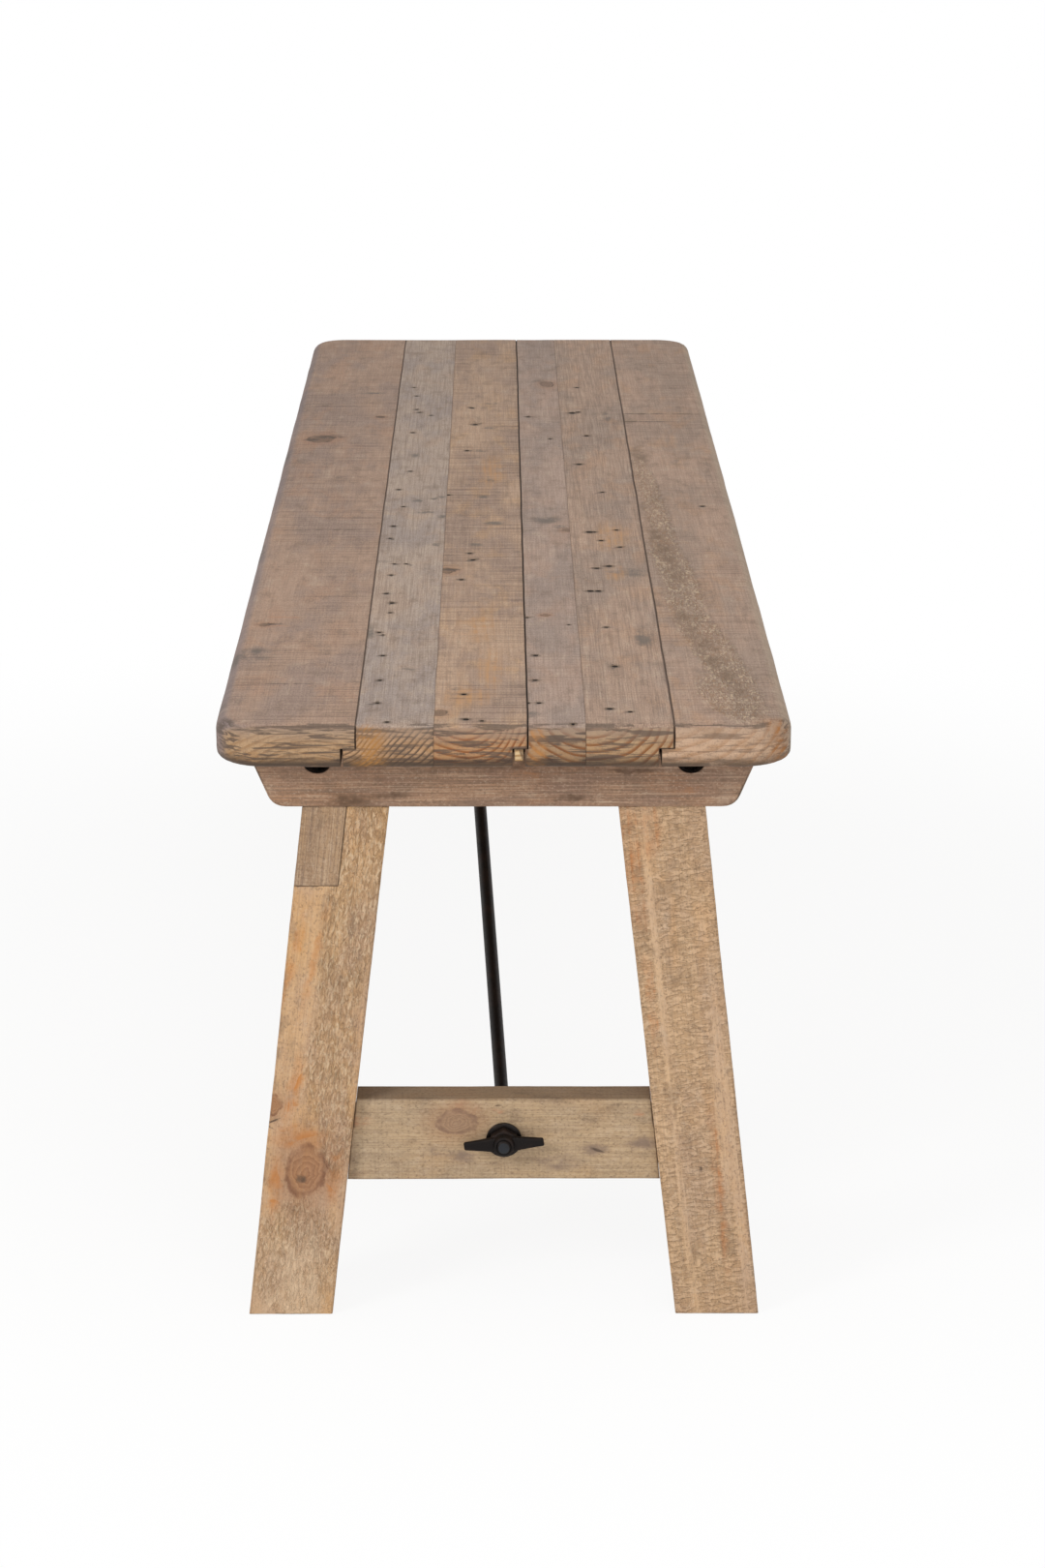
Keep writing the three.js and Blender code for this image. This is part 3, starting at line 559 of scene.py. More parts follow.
SEAT_FINISHES = {
    "seat_board_outer_left": dict(
        tones=("a98b76", "876b58", "947e72", "ab856b"), end_tones=("a88968", "967656"), heart=(20, -105),
        ring=4.2, contrast=0.25, streaks=0.3, saw=0.75, end_dirt_and_shade=0.85,
        # Painted shade: the outer side of this board is darkened with a cool grey
        edges=[((-1, 0, 0), 0.1, 0.5, "6c6468", 0.55), IN_A_LAP[1]],
        knots=[(-0.60, -0.63, 5), (-0.37, 0.29, 12, 17), (0.70, 0.43, 4, 5)], knot_tones=OLD_KNOT,
        cracks=[(-0.5, -0.628, 9, 3), (-0.22, 0.3, 15, 5), (-0.55, 0.285, 8, 5), (0.74, 0.43, 6, 3),
                (-0.06, -0.852, 24, 1), (0.05, -0.73, 40, 0.8), (0.6, -0.745, 16, 0.8), (0, -0.207, 38, 0.9),
                (-0.1, 0.067, 36, 0.9), (0.2, -0.47, 22, 0.7), (-0.2, 0.5, 30, 0.9)],
        grey=[(-0.15, 0.31, 10, 6), (-0.65, -0.745, 14, 24), (-0.8, -0.63, 9, 3.5), (-0.93, -0.76, 4, 25),
              (-0.95, -0.93, 4, 20), (0.45, 0.59, 14, 6), (-0.97, -0.3, 3, 40), (-0.97, 0.2, 3, 50)],
        amber=[(-0.3, -0.6, 14, 2.5), (-0.3, -0.635, 8, 2)], amber_tone="a87454",
    ),
    "seat_strip_left_outer": dict(
        tones=("ae9a8b", "8b7a6b", "9b8d86", "ae937e"), end_tones=("a98665", "5c4838"), heart=(-42, 34),
        ring=3.4, contrast=0.3, streaks=0.5, saw=0.25, end_dirt_and_shade=0.75,
        amber=[(-0.42, -1, 12, 8)], amber_tone="a8763c",
        holes=[(-0.3, -0.42, 1.8), (-0.37, -0.5, 2), (-0.2, -0.54, 2.4, 2.6), (-0.22, -0.58, 1.6),
               (-0.44, -0.66, 1.8, 2.2), (-0.34, -0.67, 1.3, 1.4), (-0.29, -0.75, 1.8), (-0.29, -0.84, 2),
               (-0.29, -0.92, 1.8, 2), (-0.03, -0.985, 1.8), (-0.1, 0.1, 2), (-0.18, -0.09, 1.8),
               (-0.37, 0, 2), (-0.4, -0.19, 2.2), (-0.44, -0.25, 1.8), (-0.25, -0.37, 1.6),
               (0.05, -0.37, 1.6), (-0.25, 0.63, 1.8), (-0.14, 0.57, 1.8), (-0.1, 0.48, 2),
               (0, 0.46, 2.2), (0.38, 0.44, 1.8), (-0.14, 0.33, 2)],
        grey=[(0.2, -0.06, 6, 5), (0.45, -0.05, 4, 6), (0.67, -0.05, 4, 6), (0.85, -0.04, 4, 6),
              (0.15, -0.12, 6, 5), (0.42, -0.12, 4, 5), (0.57, -0.12, 4, 5), (0.9, -0.14, 4, 8),
              (0.8, -0.28, 4, 6), (0, 0.19, 6, 9), (-0.6, -0.36, 8, 6), (0.34, -0.8, 5, 4),
              (-0.7, -0.66, 7, 22)],
    ),
    "seat_strip_left_inner": dict(
        tones=("b8997f", "936c50", "9f8676", "bd966e"), end_tones=("aa815c", "84502a"), heart=(-10, 26),
        ring=4.2, contrast=0.3, streaks=0.35, saw=1, end_dirt_and_shade=0.85,
        knots=[(-0.92, -0.40, 8, 9), (-0.88, -0.955, 6, 8)], knot_tones=OLD_KNOT,
        holes=[(-0.52, -0.44, 2.2, 2.4), (-0.37, -0.89, 2.2, 2.4), (-0.31, -0.975, 2.4, 2.2),
               (0.03, -0.98, 1.6, 1.8), (-0.95, -0.03, 2), (-0.34, -0.32, 2.2), (-0.25, -0.35, 2.4),
               (-0.4, 0.49, 2.4), (-0.28, 0.38, 2.8), (-0.5, 0.22, 2.2)],
        cracks=[(-0.78, -0.395, 8, 4), (-0.7, -0.72, 12, 0.8), (-0.5, -0.705, 16, 0.7),
                (-0.2, -0.905, 18, 0.8), (0.1, -0.5, 22, 0.7)],
        grey=[(0.28, -0.175, 11, 8), (0.2, 0.05, 6), (0, -0.04, 6), (-0.18, -0.28, 7, 5), (0.2, 0.52, 8, 7),
              (0.15, 0.36, 8), (-0.2, 0.22, 7, 6), (0.28, -0.78, 4, 5), (-0.52, -0.87, 5)],
        amber=[(-0.1, -0.63, 16, 60), (0.2, -0.8, 10, 60), (-0.3, -0.9, 20, 30), (0.2, 0.1, 14, 70)],
    ),
    "seat_strip_right_inner": dict(
        tones=("ac9384", "856d5e", "97857b", "a98a77"), end_tones=("997d60", "764a2a"), heart=(22, 42),
        ring=5.5, contrast=0.25, streaks=0.35, saw=0.45, end_dirt_and_shade=0.9,
        knots=[(0.5, 0.65, 7, 14), (-0.17, -0.59, 3.5, 4), (0.85, -0.21, 4, 6)],
        holes=[(-0.57, -0.75, 2.2, 2), (-0.62, -0.84, 2.2), (-0.9, -0.92, 1.8), (-0.52, -0.92, 2),
               (-0.82, -0.6, 1.4), (0.68, -0.63, 1.4), (-0.47, 0.43, 2), (0.48, 0.29, 1.8),
               (0.58, -0.99, 1.6)],
        grey=[(-0.77, -0.96, 9), (0, 0.67, 12, 10), (0.1, -0.16, 16, 14), (0.65, -0.2, 9, 14),
              (0.7, 0.4, 7, 9)],
        amber=[(-0.17, -0.59, 5, 6), (-0.6, -1, 7, 4)], amber_tone="ac7844",
    ),
    "seat_strip_right_outer": dict(
        tones=("ad907c", "87705e", "998578", "b18b6e"), end_tones=("a68766", "80522e"), heart=(-28, 42),
        ring=5.5, contrast=0.35, streaks=0.6, saw=0.35, torn=0.1, end_dirt_and_shade=0.8,
        holes=[(-0.59, -0.49, 3, 2), (-0.39, -0.49, 2.6, 1.8), (-0.29, -0.64, 2), (-0.19, -0.79, 2.6, 2.4),
               (-0.42, -0.94, 2.4, 2.2), (0.04, -0.95, 2, 1.8), (0.04, -0.015, 2), (-0.45, -0.22, 3.4, 2.8),
               (-0.32, -0.22, 2), (-0.16, -0.26, 2.2, 2), (0.3, -0.21, 2), (0.34, -0.29, 2.2, 2),
               (-0.36, -0.39, 2.4, 2.2), (-0.03, -0.38, 3, 2.4), (-0.6, 0.455, 3.6, 3), (-0.42, 0.46, 2.4),
               (-0.22, 0.31, 2.4), (-0.55, 0.14, 3, 2.6), (-0.36, 0.63, 2.2)],
        grey=[(0.5, -0.41, 14, 20), (0.5, 0.43, 5, 22), (0.6, -0.69, 8, 30)],
        amber=[(0.15, -0.24, 16, 55), (0.1, -0.41, 10, 30)],
    ),
    "seat_board_outer_right": dict(
        tones=("ae907c", "8a7160", "9c8677", "b28b6c"), end_tones=("b99a80", "ad8a6d"), heart=(-46, 70),
        ring=7, contrast=0.25, streaks=0.35, saw=0.6, torn=0.8, end_dirt_and_shade=0.5,
        # Painted light: the outer side of this board is made paler
        edges=[((1, 0, 0), 0.1, 0.5, "b3a28c", 0.4), IN_A_LAP[0]],
        torn_at=[(-0.5, -0.1, 10, 240, 2), (-0.35, -0.4, 15, 160, 4), (0, -0.72, 17, 200, 7),
                 (0.1, -0.9, 20, 70, 9)],
        holes=[(0.4, -0.09, 2)],
        cracks=[(-0.2, 0.45, 38, 1.6), (-0.3, 0.4, 30, 1.4), (0.3, -0.85, 26, 0.8), (0.1, -0.62, 30, 0.8)],
        grey=[(-0.7, 0.4, 18, 5), (-0.4, 0.45, 20, 5), (0.5, 0.45, 20, 5), (-0.6, 0.2, 8, 60),
              (-0.5, -0.3, 8, 170, 5), (-0.05, -0.74, 9, 170, 8)], grey_tone="7c644f",
        amber=[(0.84, -0.985, 12, 12, 30)], amber_tone="a0662e",
    ),
    "seat_lap_filler": dict(
        tones=("c9ab86", "a98458", "b89a78", "c9a478"), end_tones=("c4a880", "a07c50"), heart=(0, -40),
        contrast=0.4, torn=0.1, end_dirt_and_shade=0.2, edges=(),
    ),
}

seat_pine = {}
for node, facts in SEAT_FINISHES.items():
    spots = {kind: placed(node, facts[kind]) for kind in SPOT_KINDS if kind in facts}
    facts = MOST_BOARDS | facts | spots
    seat_pine[node] = pine("reclaimed_pine_" + node, middle_of(node), ALONG_Y, **facts)
print("seat finishes:", len(seat_pine))

# %% [markdown]
# ## Worn boards
# A sawn board has crisp arrises. These are softened by handling, and nothing on them is quite
# straight. Each piece starts as a copy of its CAD solid, whose loose triangles are merged and whose
# flat faces are made whole. Its sharp arrises are bevelled, then it is sliced into short lengths so
# that a slow, even warp can bend it. The warp depends only on the place, so neighbours move together
# and the gaps between them stay as they are.

# %% Tools for every piece
SMOOTH_WITHIN = radians(35)


def in_hand(piece):
    """Makes a piece the only selected one and the active one."""
    bpy.ops.object.select_all(action="DESELECT")
    bpy.context.view_layer.objects.active = piece
    piece.select_set(True)


@contextmanager
def edited(piece, picked=lambda place: True):
    """Edits a piece, starting with only those points selected that a rule picks."""
    in_hand(piece)
    bpy.ops.object.mode_set(mode="EDIT")
    bpy.ops.mesh.select_mode(type="VERT")
    bpy.ops.mesh.select_all(action="DESELECT")
    bpy.ops.object.mode_set(mode="OBJECT")
    for point in piece.data.vertices:
        point.select = picked(point.co)
    bpy.ops.object.mode_set(mode="EDIT")
    yield
    bpy.ops.object.mode_set(mode="OBJECT")


def apply(piece, kind, **settings):
    """Adds a modifier with its settings and applies it."""
    modifier = piece.modifiers.new(kind.lower(), kind)
    for name, value in settings.items():
        setattr(modifier, name, value)
    bpy.ops.object.modifier_apply(modifier=modifier.name)


def carve(piece, cutter, operation="DIFFERENCE", **settings):
    """Cuts one solid with another, which is then removed."""
    in_hand(piece)
    apply(piece, "BOOLEAN", object=cutter, operation=operation, solver="EXACT", **settings)
    bpy.data.objects.remove(cutter)


def start_solid(name, kind, turn=(0, 0, 0), **size):
    """A primitive of a given size, with its place in its mesh."""
    bpy.ops.object.select_all(action="DESELECT")
    getattr(bpy.ops.mesh, f"primitive_{kind}_add")(rotation=turn, **size)
    made = bpy.context.object
    made.name = name
    bpy.ops.object.transform_apply(location=True, rotation=True, scale=True)
    return made


def finish_piece(piece, finish, body, slot, *stands_for):
    """Smooth shading, one finish, and its place on the CAD body."""
    if not piece.data.materials or piece.data.materials[0] != finish:
        piece.data.materials.clear()
        piece.data.materials.append(finish)
    bpy.ops.object.shade_smooth_by_angle(angle=SMOOTH_WITHIN)
    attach(piece, body)
    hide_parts(*stands_for)
    print(piece.name, "has", len(piece.data.polygons), "faces")


# %% Tools for wooden pieces
MERGE_WITHIN = 0.005 * MM
FLAT_WITHIN = radians(0.5)
SHARP = radians(50)
WORN_SHARP = radians(22)
DRAWN_OUT = 3


def start_from(node, name):
    """A new piece from a merged copy of a CAD node, in edit mode."""
    piece = new_object(name, nodes[node].data.copy())
    in_hand(piece)
    bpy.ops.object.mode_set(mode="EDIT")
    bpy.ops.mesh.select_all(action="SELECT")
    bpy.ops.mesh.remove_doubles(threshold=MERGE_WITHIN)
    bpy.ops.mesh.dissolve_limited(angle_limit=FLAT_WITHIN)
    return piece


def soften(piece, width, segments=2, skip=lambda place: False):
    """Bevels the sharp edges, apart from those whose middle the skip rule names."""
    bpy.ops.mesh.select_all(action="DESELECT")
    bpy.ops.mesh.select_mode(type="EDGE")
    bpy.ops.mesh.edges_select_sharp(sharpness=SHARP)
    bpy.ops.object.mode_set(mode="OBJECT")
    points = piece.data.vertices
    for edge in piece.data.edges:
        first, second = (points[each].co for each in edge.vertices)
        if edge.select and skip((first + second) / 2):
            edge.select = False
    bpy.ops.object.mode_set(mode="EDIT")
    bpy.ops.mesh.bevel(offset=width, segments=segments, affect="EDGES", clamp_overlap=True)


def slices(piece, way, spacing):
    """Cuts the piece across a direction at even steps, without parting it."""
    reach = [point.co.dot(way) for point in piece.data.vertices]
    low, high = min(reach), max(reach)
    count = max(1, round((high - low) / spacing))
    for step in range(count):
        place = low + (high - low) * (step + 0.5) / count
        bpy.ops.mesh.select_all(action="SELECT")
        bpy.ops.mesh.bisect(plane_co=way * place, plane_no=way)


def mark_arrises(piece, skip=lambda place: False):
    """Stores 1 on the points of sharp edges and 0 elsewhere, for the finish to darken, and leaves edit
    mode."""
    bpy.ops.mesh.select_all(action="DESELECT")
    bpy.ops.mesh.edges_select_sharp(sharpness=WORN_SHARP)
    bpy.ops.object.mode_set(mode="OBJECT")
    attribute = piece.data.attributes.new("arris", "FLOAT", "POINT")
    shares = [float(point.select and not skip(point.co)) for point in piece.data.vertices]
    attribute.data.foreach_set("value", shares)


def clouds(name, size):
    """A soft cloud pattern of the given size, for modifiers that move points."""
    pattern = bpy.data.textures.new(name, "CLOUDS")
    pattern.noise_scale = size
    pattern.cloud_type = "COLOR"
    return pattern


def roughen(piece, turn, pattern, depth):
    """Raises and sinks the surface by a pattern that is drawn out along the grain."""
    grain = new_object("grain", None)
    grain.rotation_euler = turn
    grain.scale = (1, DRAWN_OUT, 1)
    bpy.context.view_layer.update()
    apply(piece, "DISPLACE", texture=pattern, texture_coords="OBJECT", texture_coords_object=grain,
          mid_level=0.5, strength=depth)
    bpy.data.objects.remove(grain)


# %% Worn seat boards
SEAM_ARRIS = 0.5 * MM
BOARD_STEP = 9 * MM
WARP_SIZE = 90 * MM
WARP_DEPTH = 0.9 * MM
PIT_DEPTH = 3.5 * MM
PIT_ABOVE = 0.5 * MM
PIT_POINT_SHARE = 0.3

ACROSS = Vector((1, 0, 0))
ALONG = Vector((0, 1, 0))
slow_warp = clouds("slow_warp", WARP_SIZE)
glue_lines = [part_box(node)[1].x for node in ("seat_strip_left_outer", "seat_strip_right_inner")]


def on_glue_line(place):
    return min(abs(place.x - line) for line in glue_lines) < SEAM_ARRIS


def bend(piece):
    """Moves every point by a slow noise that depends only on where the point is."""
    apply(piece, "DISPLACE", texture=slow_warp, texture_coords="LOCAL", direction="RGB_TO_XYZ", mid_level=0.5,
          strength=WARP_DEPTH)


def packed_into_gaps(name, dark, pale, grain, rough):
    """Dull stuff in crumbs of a given size in mm."""
    material, tree, surface = new_material(name)
    grit = add(tree, "TexNoise", {"Vector": add(tree, "TexCoord", out="Object"), "Scale": 1 / (grain * MM)})
    colour = add(tree, "Mix", {0: grit, 6: linear(dark), 7: linear(pale)}, **COLOUR)
    tree.links.new(add(tree, "BsdfPrincipled", {"Base Color": colour, "Roughness": rough}), surface)
    return material


# Dirt packed in nail holes gives the eye a dull black dot with no glint, which reads as a deep hole.
# The same near-black is painted on the walls of the screw pockets as shade.
packed_dirt_and_pocket_shade = packed_into_gaps("dirt_packed_in_nail_holes", "120d0a", "2c211a", grain=0.8, rough=0.9)


def open_nail_holes(board, holes, middle, top):
    """Cuts the nail holes into the board as pits whose walls are packed with dirt."""
    pits = []
    for across, along, half_width, *_ in holes:
        place = (middle.x + across * MM, middle.y + along * MM, top - PIT_DEPTH / 2)
        radius = half_width * MM
        pits.append(start_solid("pit", "cone", vertices=10, radius1=radius * PIT_POINT_SHARE, radius2=radius,
                                depth=PIT_DEPTH + 2 * PIT_ABOVE, location=place))
    for pit in pits:
        pit.select_set(True)
    bpy.ops.object.join()
    cutter = bpy.context.object
    cutter.data.materials.append(packed_dirt_and_pocket_shade)
    carve(board, cutter, material_mode="TRANSFER", use_self=True)


for node in SEAT_FINISHES:
    board = start_from(node, node.replace("seat_", "worn_"))
    soften(board, SEAM_ARRIS, skip=on_glue_line)
    slices(board, ALONG, BOARD_STEP)
    slices(board, ACROSS, BOARD_STEP)
    mark_arrises(board, on_glue_line)
    board.data.materials.clear()
    board.data.materials.append(seat_pine[node])
    if "holes" in SEAT_FINISHES[node]:
        open_nail_holes(board, placed(node, SEAT_FINISHES[node]["holes"]), middle_of(node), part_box(node)[1].z)
    bend(board)
    finish_piece(board, seat_pine[node], "frame", "seat_boards", node)

# %% [markdown]
# The seams between the lapped boards have filled with wax and dirt, which makes them dark from end to
# end. Each filling is a thin strip, sunk below the top, with a crumbly upper edge.

# %% Dirt in the seams
SEAM_WIDTH = 0.8 * MM
STRIP_WIDTH = 0.9 * SEAM_WIDTH
SEAM_FILL = 6 * MM
CRUMB_SIZE = 9 * MM
CRUMB_STEP = 4 * MM
CRUMB_DEPTH = 1.2 * MM
crumbs = clouds("crumbs", CRUMB_SIZE)

# Brown wax gives the eye a thin dark line, softer than a shadow, so that the boards look joined
seam_wax = packed_into_gaps("brown_wax_rubbed_into_the_seams", "4a3b32", "7d6858", grain=6, rough=0.8)
SEAMS = {
    "seat_board_outer_left": (0.7 * MM, seam_wax),
    "seat_strip_left_inner": (1.6 * MM, packed_dirt_and_pocket_shade),
    "seat_strip_right_outer": (0.9 * MM, seam_wax),
}
for node, (sunk, fill) in SEAMS.items():
    low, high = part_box(node)
    place = (high.x + SEAM_WIDTH / 2, 0, high.z - sunk - SEAM_FILL / 2)
    size = (STRIP_WIDTH, high.y - low.y - 2 * SEAM_FILL, SEAM_FILL)
    strip = start_solid("packed_dirt_beside_" + node, "cube", size=1, scale=size, location=place)
    with edited(strip):
        slices(strip, ALONG, CRUMB_STEP)
    apply(strip, "DISPLACE", texture=crumbs, texture_coords="LOCAL", direction="Z", mid_level=0.6,
          strength=CRUMB_DEPTH)
    bend(strip)
    finish_piece(strip, fill, "frame", "seat_boards")

# %% [markdown]
# ## Trestles
# The legs are rough-sawn: the blade tore the fibres, so bands of short ridges run down their faces.
# The bearers are darker and smoother, and the stretchers pale. Their grain runs along each piece, so
# the finish's axes are turned to follow it.

# %% Finishes of the trestles
SPLAY = radians(6.6)
END_TONES = {"legs": ("b3946e", "86603c"), "bearers": ("a5845f", "77553a")}
BEARER = dict(tones=("a78469", "6f4f38", "8a6d5c", "9a7050"), ring=3.4, contrast=0.5, streaks=0.75, saw=0.2)


def slot_of(node):
    """Legs and stretchers share one slot, bearers and cleat the other."""
    return "legs" if "leg" in node or "stretcher" in node else "bearers"


def grain_turn(node):
    """The turn that lays Y along a piece's grain, X across its front and Z out of its front."""
    if "leg" in node:
        side = -1 if "left" in node else 1
        return Euler((radians(90), -side * SPLAY, 0)).to_matrix().to_euler()[:]
    if node == "centre_cleat":
        return (0, 0, radians(-90))
    return Matrix(((0, 1, 0), (0, 0, 1), (1, 0, 0))).to_euler()[:]


TRESTLE_FINISHES = {
    "near_left_leg": dict(
        tones=("c59f76", "a67e52", "b7967a", "c6975f"), heart=(-8, 60), ring=4, contrast=0.3, streaks=0.25,
        saw=0.1, torn=0.8,
        torn_at=[(14, 110, 20, 120, -3), (10, 0, 18, 60), (0, -165, 34, 52), (20, -60, 12, 40)],
        knots=[(1, -94, 14, 20), (-27, -45, 5, 7)], knot_tones=("a0704a", "6c4530"),
        cracks=[(-26, -57, 6, 0.7, 30), (-29, -62, 4, 0.7, -20), (-2, -100, 4, 3)],
        amber=[(-8, -68, 22, 10, 8), (-9, 70, 3, 48, -8), (-24, 68, 3.5, 36, -7), (-14, -30, 5, 30, -6),
               (22, -95, 6, 26), (-20, -110, 6, 26)], amber_tone="b67230",
        grey=[(0, -185, 34, 48)], grey_tone="d2b697",
    ),
    "near_left_leg_patch": dict(
        tones=("a98a6a", "8c6c4a", "9c8066", "a88660"), heart=(0, 60), ring=3, contrast=0.35, torn=0.2,
        streaks=0.6,
    ),
    "near_right_leg": dict(
        tones=("c8a682", "a8835a", "bb9c80", "c79d72"), heart=(60, -50), ring=5, contrast=0.2, streaks=0.25,
        saw=0.1, torn=0.15, ladder=1, cracks=[(-2, -92, 1.6, 2.4)],
        amber=[(-26, 150, 8, 60), (-24, 40, 4, 40), (-12, 172, 9, 26), (10, -110, 4, 70)],
        amber_tone="b4784a",
    ),
    "far_left_leg": dict(
        tones=("bd9a78", "9c7752", "b09280", "be946c"), heart=(40, 70), ring=4, contrast=0.25, streaks=0.3,
        saw=0.1, torn=0.2, ladder=0.8, knots=[(6, 40, 8, 10)], knot_tones=("a3784f", "7c5436"),
        amber=[(6, 40, 16, 30)],
    ),
    "far_right_leg": dict(
        tones=("be9b7a", "9f7a54", "b0917c", "be956e"), heart=(-50, -60), ring=4.4, contrast=0.25,
        streaks=0.3, saw=0.2, torn=0.6, amber=[(-14, -60, 8, 60)],
    ),
    "near_stretcher": dict(
        tones=("b49a79", "90704b", "aa9478", "b08f69"), heart=(-60, -70), ring=3, contrast=0.3, streaks=0.35,
        # Painted shade: the top of the stretcher, under the seat, is darkened
        saw=0.2, edges=[((1, 0, 0), 0.1, 0.5, "5f4c3d", 0.45)],
        knots=[(13, -34, 9, 14)], knot_tones=("9a7c62", "75594a"),
        grey=[(-10, -48, 6, 14), (-8, 66, 5, 12), (-18, 40, 7, 18), (-4, 100, 6, 16), (-14, -28, 7, 10)],
        grey_tone="7e6a5c",
        amber=[(22, -4, 2, 4), (24, -31, 6, 14), (20, 98, 3, 5), (14, -110, 5, 14)], amber_tone="ac8062",
        cracks=[(-9, 68, 1.2, 5, 20), (26, -4, 0.8, 2.4)],
    ),
    "far_stretcher": dict(
        tones=("b89c80", "957757", "a8927e", "b09070"), heart=(50, -80), ring=3, contrast=0.3, streaks=0.35,
        saw=0.4, torn=0.15, knots=[(-8, 60, 7, 9)], knot_tones=("8a6546", "5a402e"),
    ),
    "near_bearer": dict(
        BEARER, heart=(-40, -60),
        # Painted shadow: the first grey spot darkens the bearer's top under the seat's overhang; the other
        # spots are smudges
        grey=[(14, 0, 9, 178), (-16, -110, 6, 18), (-12, -84, 3, 22), (-14, 60, 2, 30), (6, 90, 2, 26)],
        grey_tone="56402f", amber=[(4, 12, 2, 26), (-8, 130, 2, 18)], amber_tone="9c6c48",
    ),
    "far_bearer": dict(BEARER, heart=(50, -60)),
    "centre_cleat": dict(tones=("a78a6e", "83644a", "937a66", "a07c60"), heart=(20, -70), ring=3),
}
trestle_pine = {}
for node, facts in TRESTLE_FINISHES.items():
    trestle_pine[node] = pine("reclaimed_pine_" + node, middle_of(node), grain_turn(node), lower_edge_shade=0,
                              end_tones=END_TONES[slot_of(node)], end_dirt_and_shade=0.3, wear_from=0.5, **facts)
print("trestle finishes:", len(trestle_pine))

# %% Worn trestles
LEG_ARRIS = 0.6 * MM
POCKET_ZONE = 25 * MM
OUTER_SKIN = 1 * MM
TRESTLE_STEP = 4.6 * MM
FIBRE_SIZE = 3.2 * MM
RELIEF = 0.45 * MM
torn_fibres = clouds("torn_fibres", FIBRE_SIZE)


def shade_pockets(bearer, low, high):
    """The walls of the screw pockets get the near-black of the nail holes, as painted shade."""
    bearer.data.materials.append(packed_dirt_and_pocket_shade)
    walls = 0
    for face in bearer.data.polygons:
        place = face.center
        inside = all(low[axis] + OUTER_SKIN < place[axis] < high[axis] - OUTER_SKIN for axis in (1, 2))
        if inside and abs(place.x) < high.x - POCKET_ZONE:
            face.material_index = 1
            walls += 1
    print("pocket walls:", walls)


for node, finish in trestle_pine.items():
    timber = start_from(node, "worn_" + node)
    soften(timber, LEG_ARRIS)
    turn = grain_turn(node)
    for way in Euler(turn).to_matrix().transposed():
        slices(timber, Vector(way), TRESTLE_STEP)
    bpy.ops.mesh.select_all(action="SELECT")
    bpy.ops.mesh.subdivide(number_cuts=1)
    mark_arrises(timber)
    roughen(timber, turn, torn_fibres, RELIEF * (1 if "leg" in node else 0.5))
    bend(timber)
    finish_piece(timber, finish, "frame", slot_of(node), node)
    # Painted shade in the screw pockets of the bearers
    if "bearer" in node:
        shade_pockets(timber, *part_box(node))

# %% [markdown]
# ## Iron
# The rods, washers and wing nuts are black iron, wiped with wax: nearly black, brown where it has
# rusted a little, and dull, with a soft shine on worn edges. Forged iron keeps shallow hammer marks,
# cast iron the grit of its sand mould.

# %% Iron and steel finishes
RUST_PATCH = 14 * MM


def waxed_iron(name, dark, rust, grit, depth, rough=(0.35, 0.7)):
    """Dark iron with a grain of the given size and relief in mm."""
    material, tree, surface = new_material(name)
    seen = add(tree, "TexCoord", out="Object")
    grain = add(tree, "TexNoise", {"Vector": seen, "Scale": 1 / (grit * MM), "Detail": 5, "Roughness": 0.6})
    patches = add(tree, "TexNoise", {"Vector": seen, "Scale": 1 / RUST_PATCH, "Detail": 4})
    amount = add(tree, "MapRange", {0: patches, 1: 0.45, 2: 0.7, 4: 0.8}, **SMOOTH)
    colour = add(tree, "Mix", {0: amount, 6: linear(dark), 7: linear(rust)}, **COLOUR)
    shine = add(tree, "MapRange", {0: grain, 3: rough[0], 4: rough[1]})
    bumps = add(tree, "Bump", {"Height": grain, "Strength": 1, "Distance": depth * MM})
    shader = add(tree, "BsdfPrincipled", {"Base Color": colour, "Metallic": 0.7, "Roughness": shine,
                                          "Normal": bumps})
    tree.links.new(shader, surface)
    return material


# Forged iron gives the eye a long soft glint that breaks up over shallow dents
rod_iron = waxed_iron("wax_blackened_forged_iron", "16100d", "271a13", grit=2.5, depth=0.15)
# Stamped sheet is smooth, so the washer's rim catches a thin clean line of light
washer_iron = waxed_iron("wax_blackened_stamped_iron", "1a1513", "2b211b", grit=0.7, depth=0.03,
                         rough=(0.2, 0.4))
# Sand-cast iron is gritty and dull, and shows its form by shading more than by glints
nut_iron = waxed_iron("wax_blackened_cast_iron", "120c0a", "2a1b13", grit=1.1, depth=0.16, rough=(0.45, 0.8))
# The saw's cut at the rod's tip is a small disc, bluer and paler than the waxed iron round it
sawn_steel = waxed_iron("sawn_blue_black_steel", "292b2f", "231e1b", grit=0.5, depth=0.06, rough=(0.3, 0.5))
# Phosphated screws are an even grey black with a faint satin shine
screw_steel = waxed_iron("black_phosphated_screw_steel", "24211f", "302a26", grit=0.8, depth=0.03)
print("iron finishes:", rod_iron.name, nut_iron.name)

# %% [markdown]
# ## Forged rods
# A smith cuts a round bar, threads one end, bends it twice and hammers the other end flat. The model
# goes the same way: a disc is pushed along the bar's line, spun round at each bend, and its ring of
# points is squashed step by step towards the palm. A curve with a bevel would be shorter to write,
# but its section can't go from round to flat.

# %% The rod's line
ROD_RADIUS = 5 * MM
BEND_TANGENT = 9 * MM
STRAIGHT_BEHIND = 12 * MM
PALM_HEEL = 24 * MM
PALM_HALF_WIDTH = 11 * MM
PALM_HALF_THICKNESS = 2.5 * MM

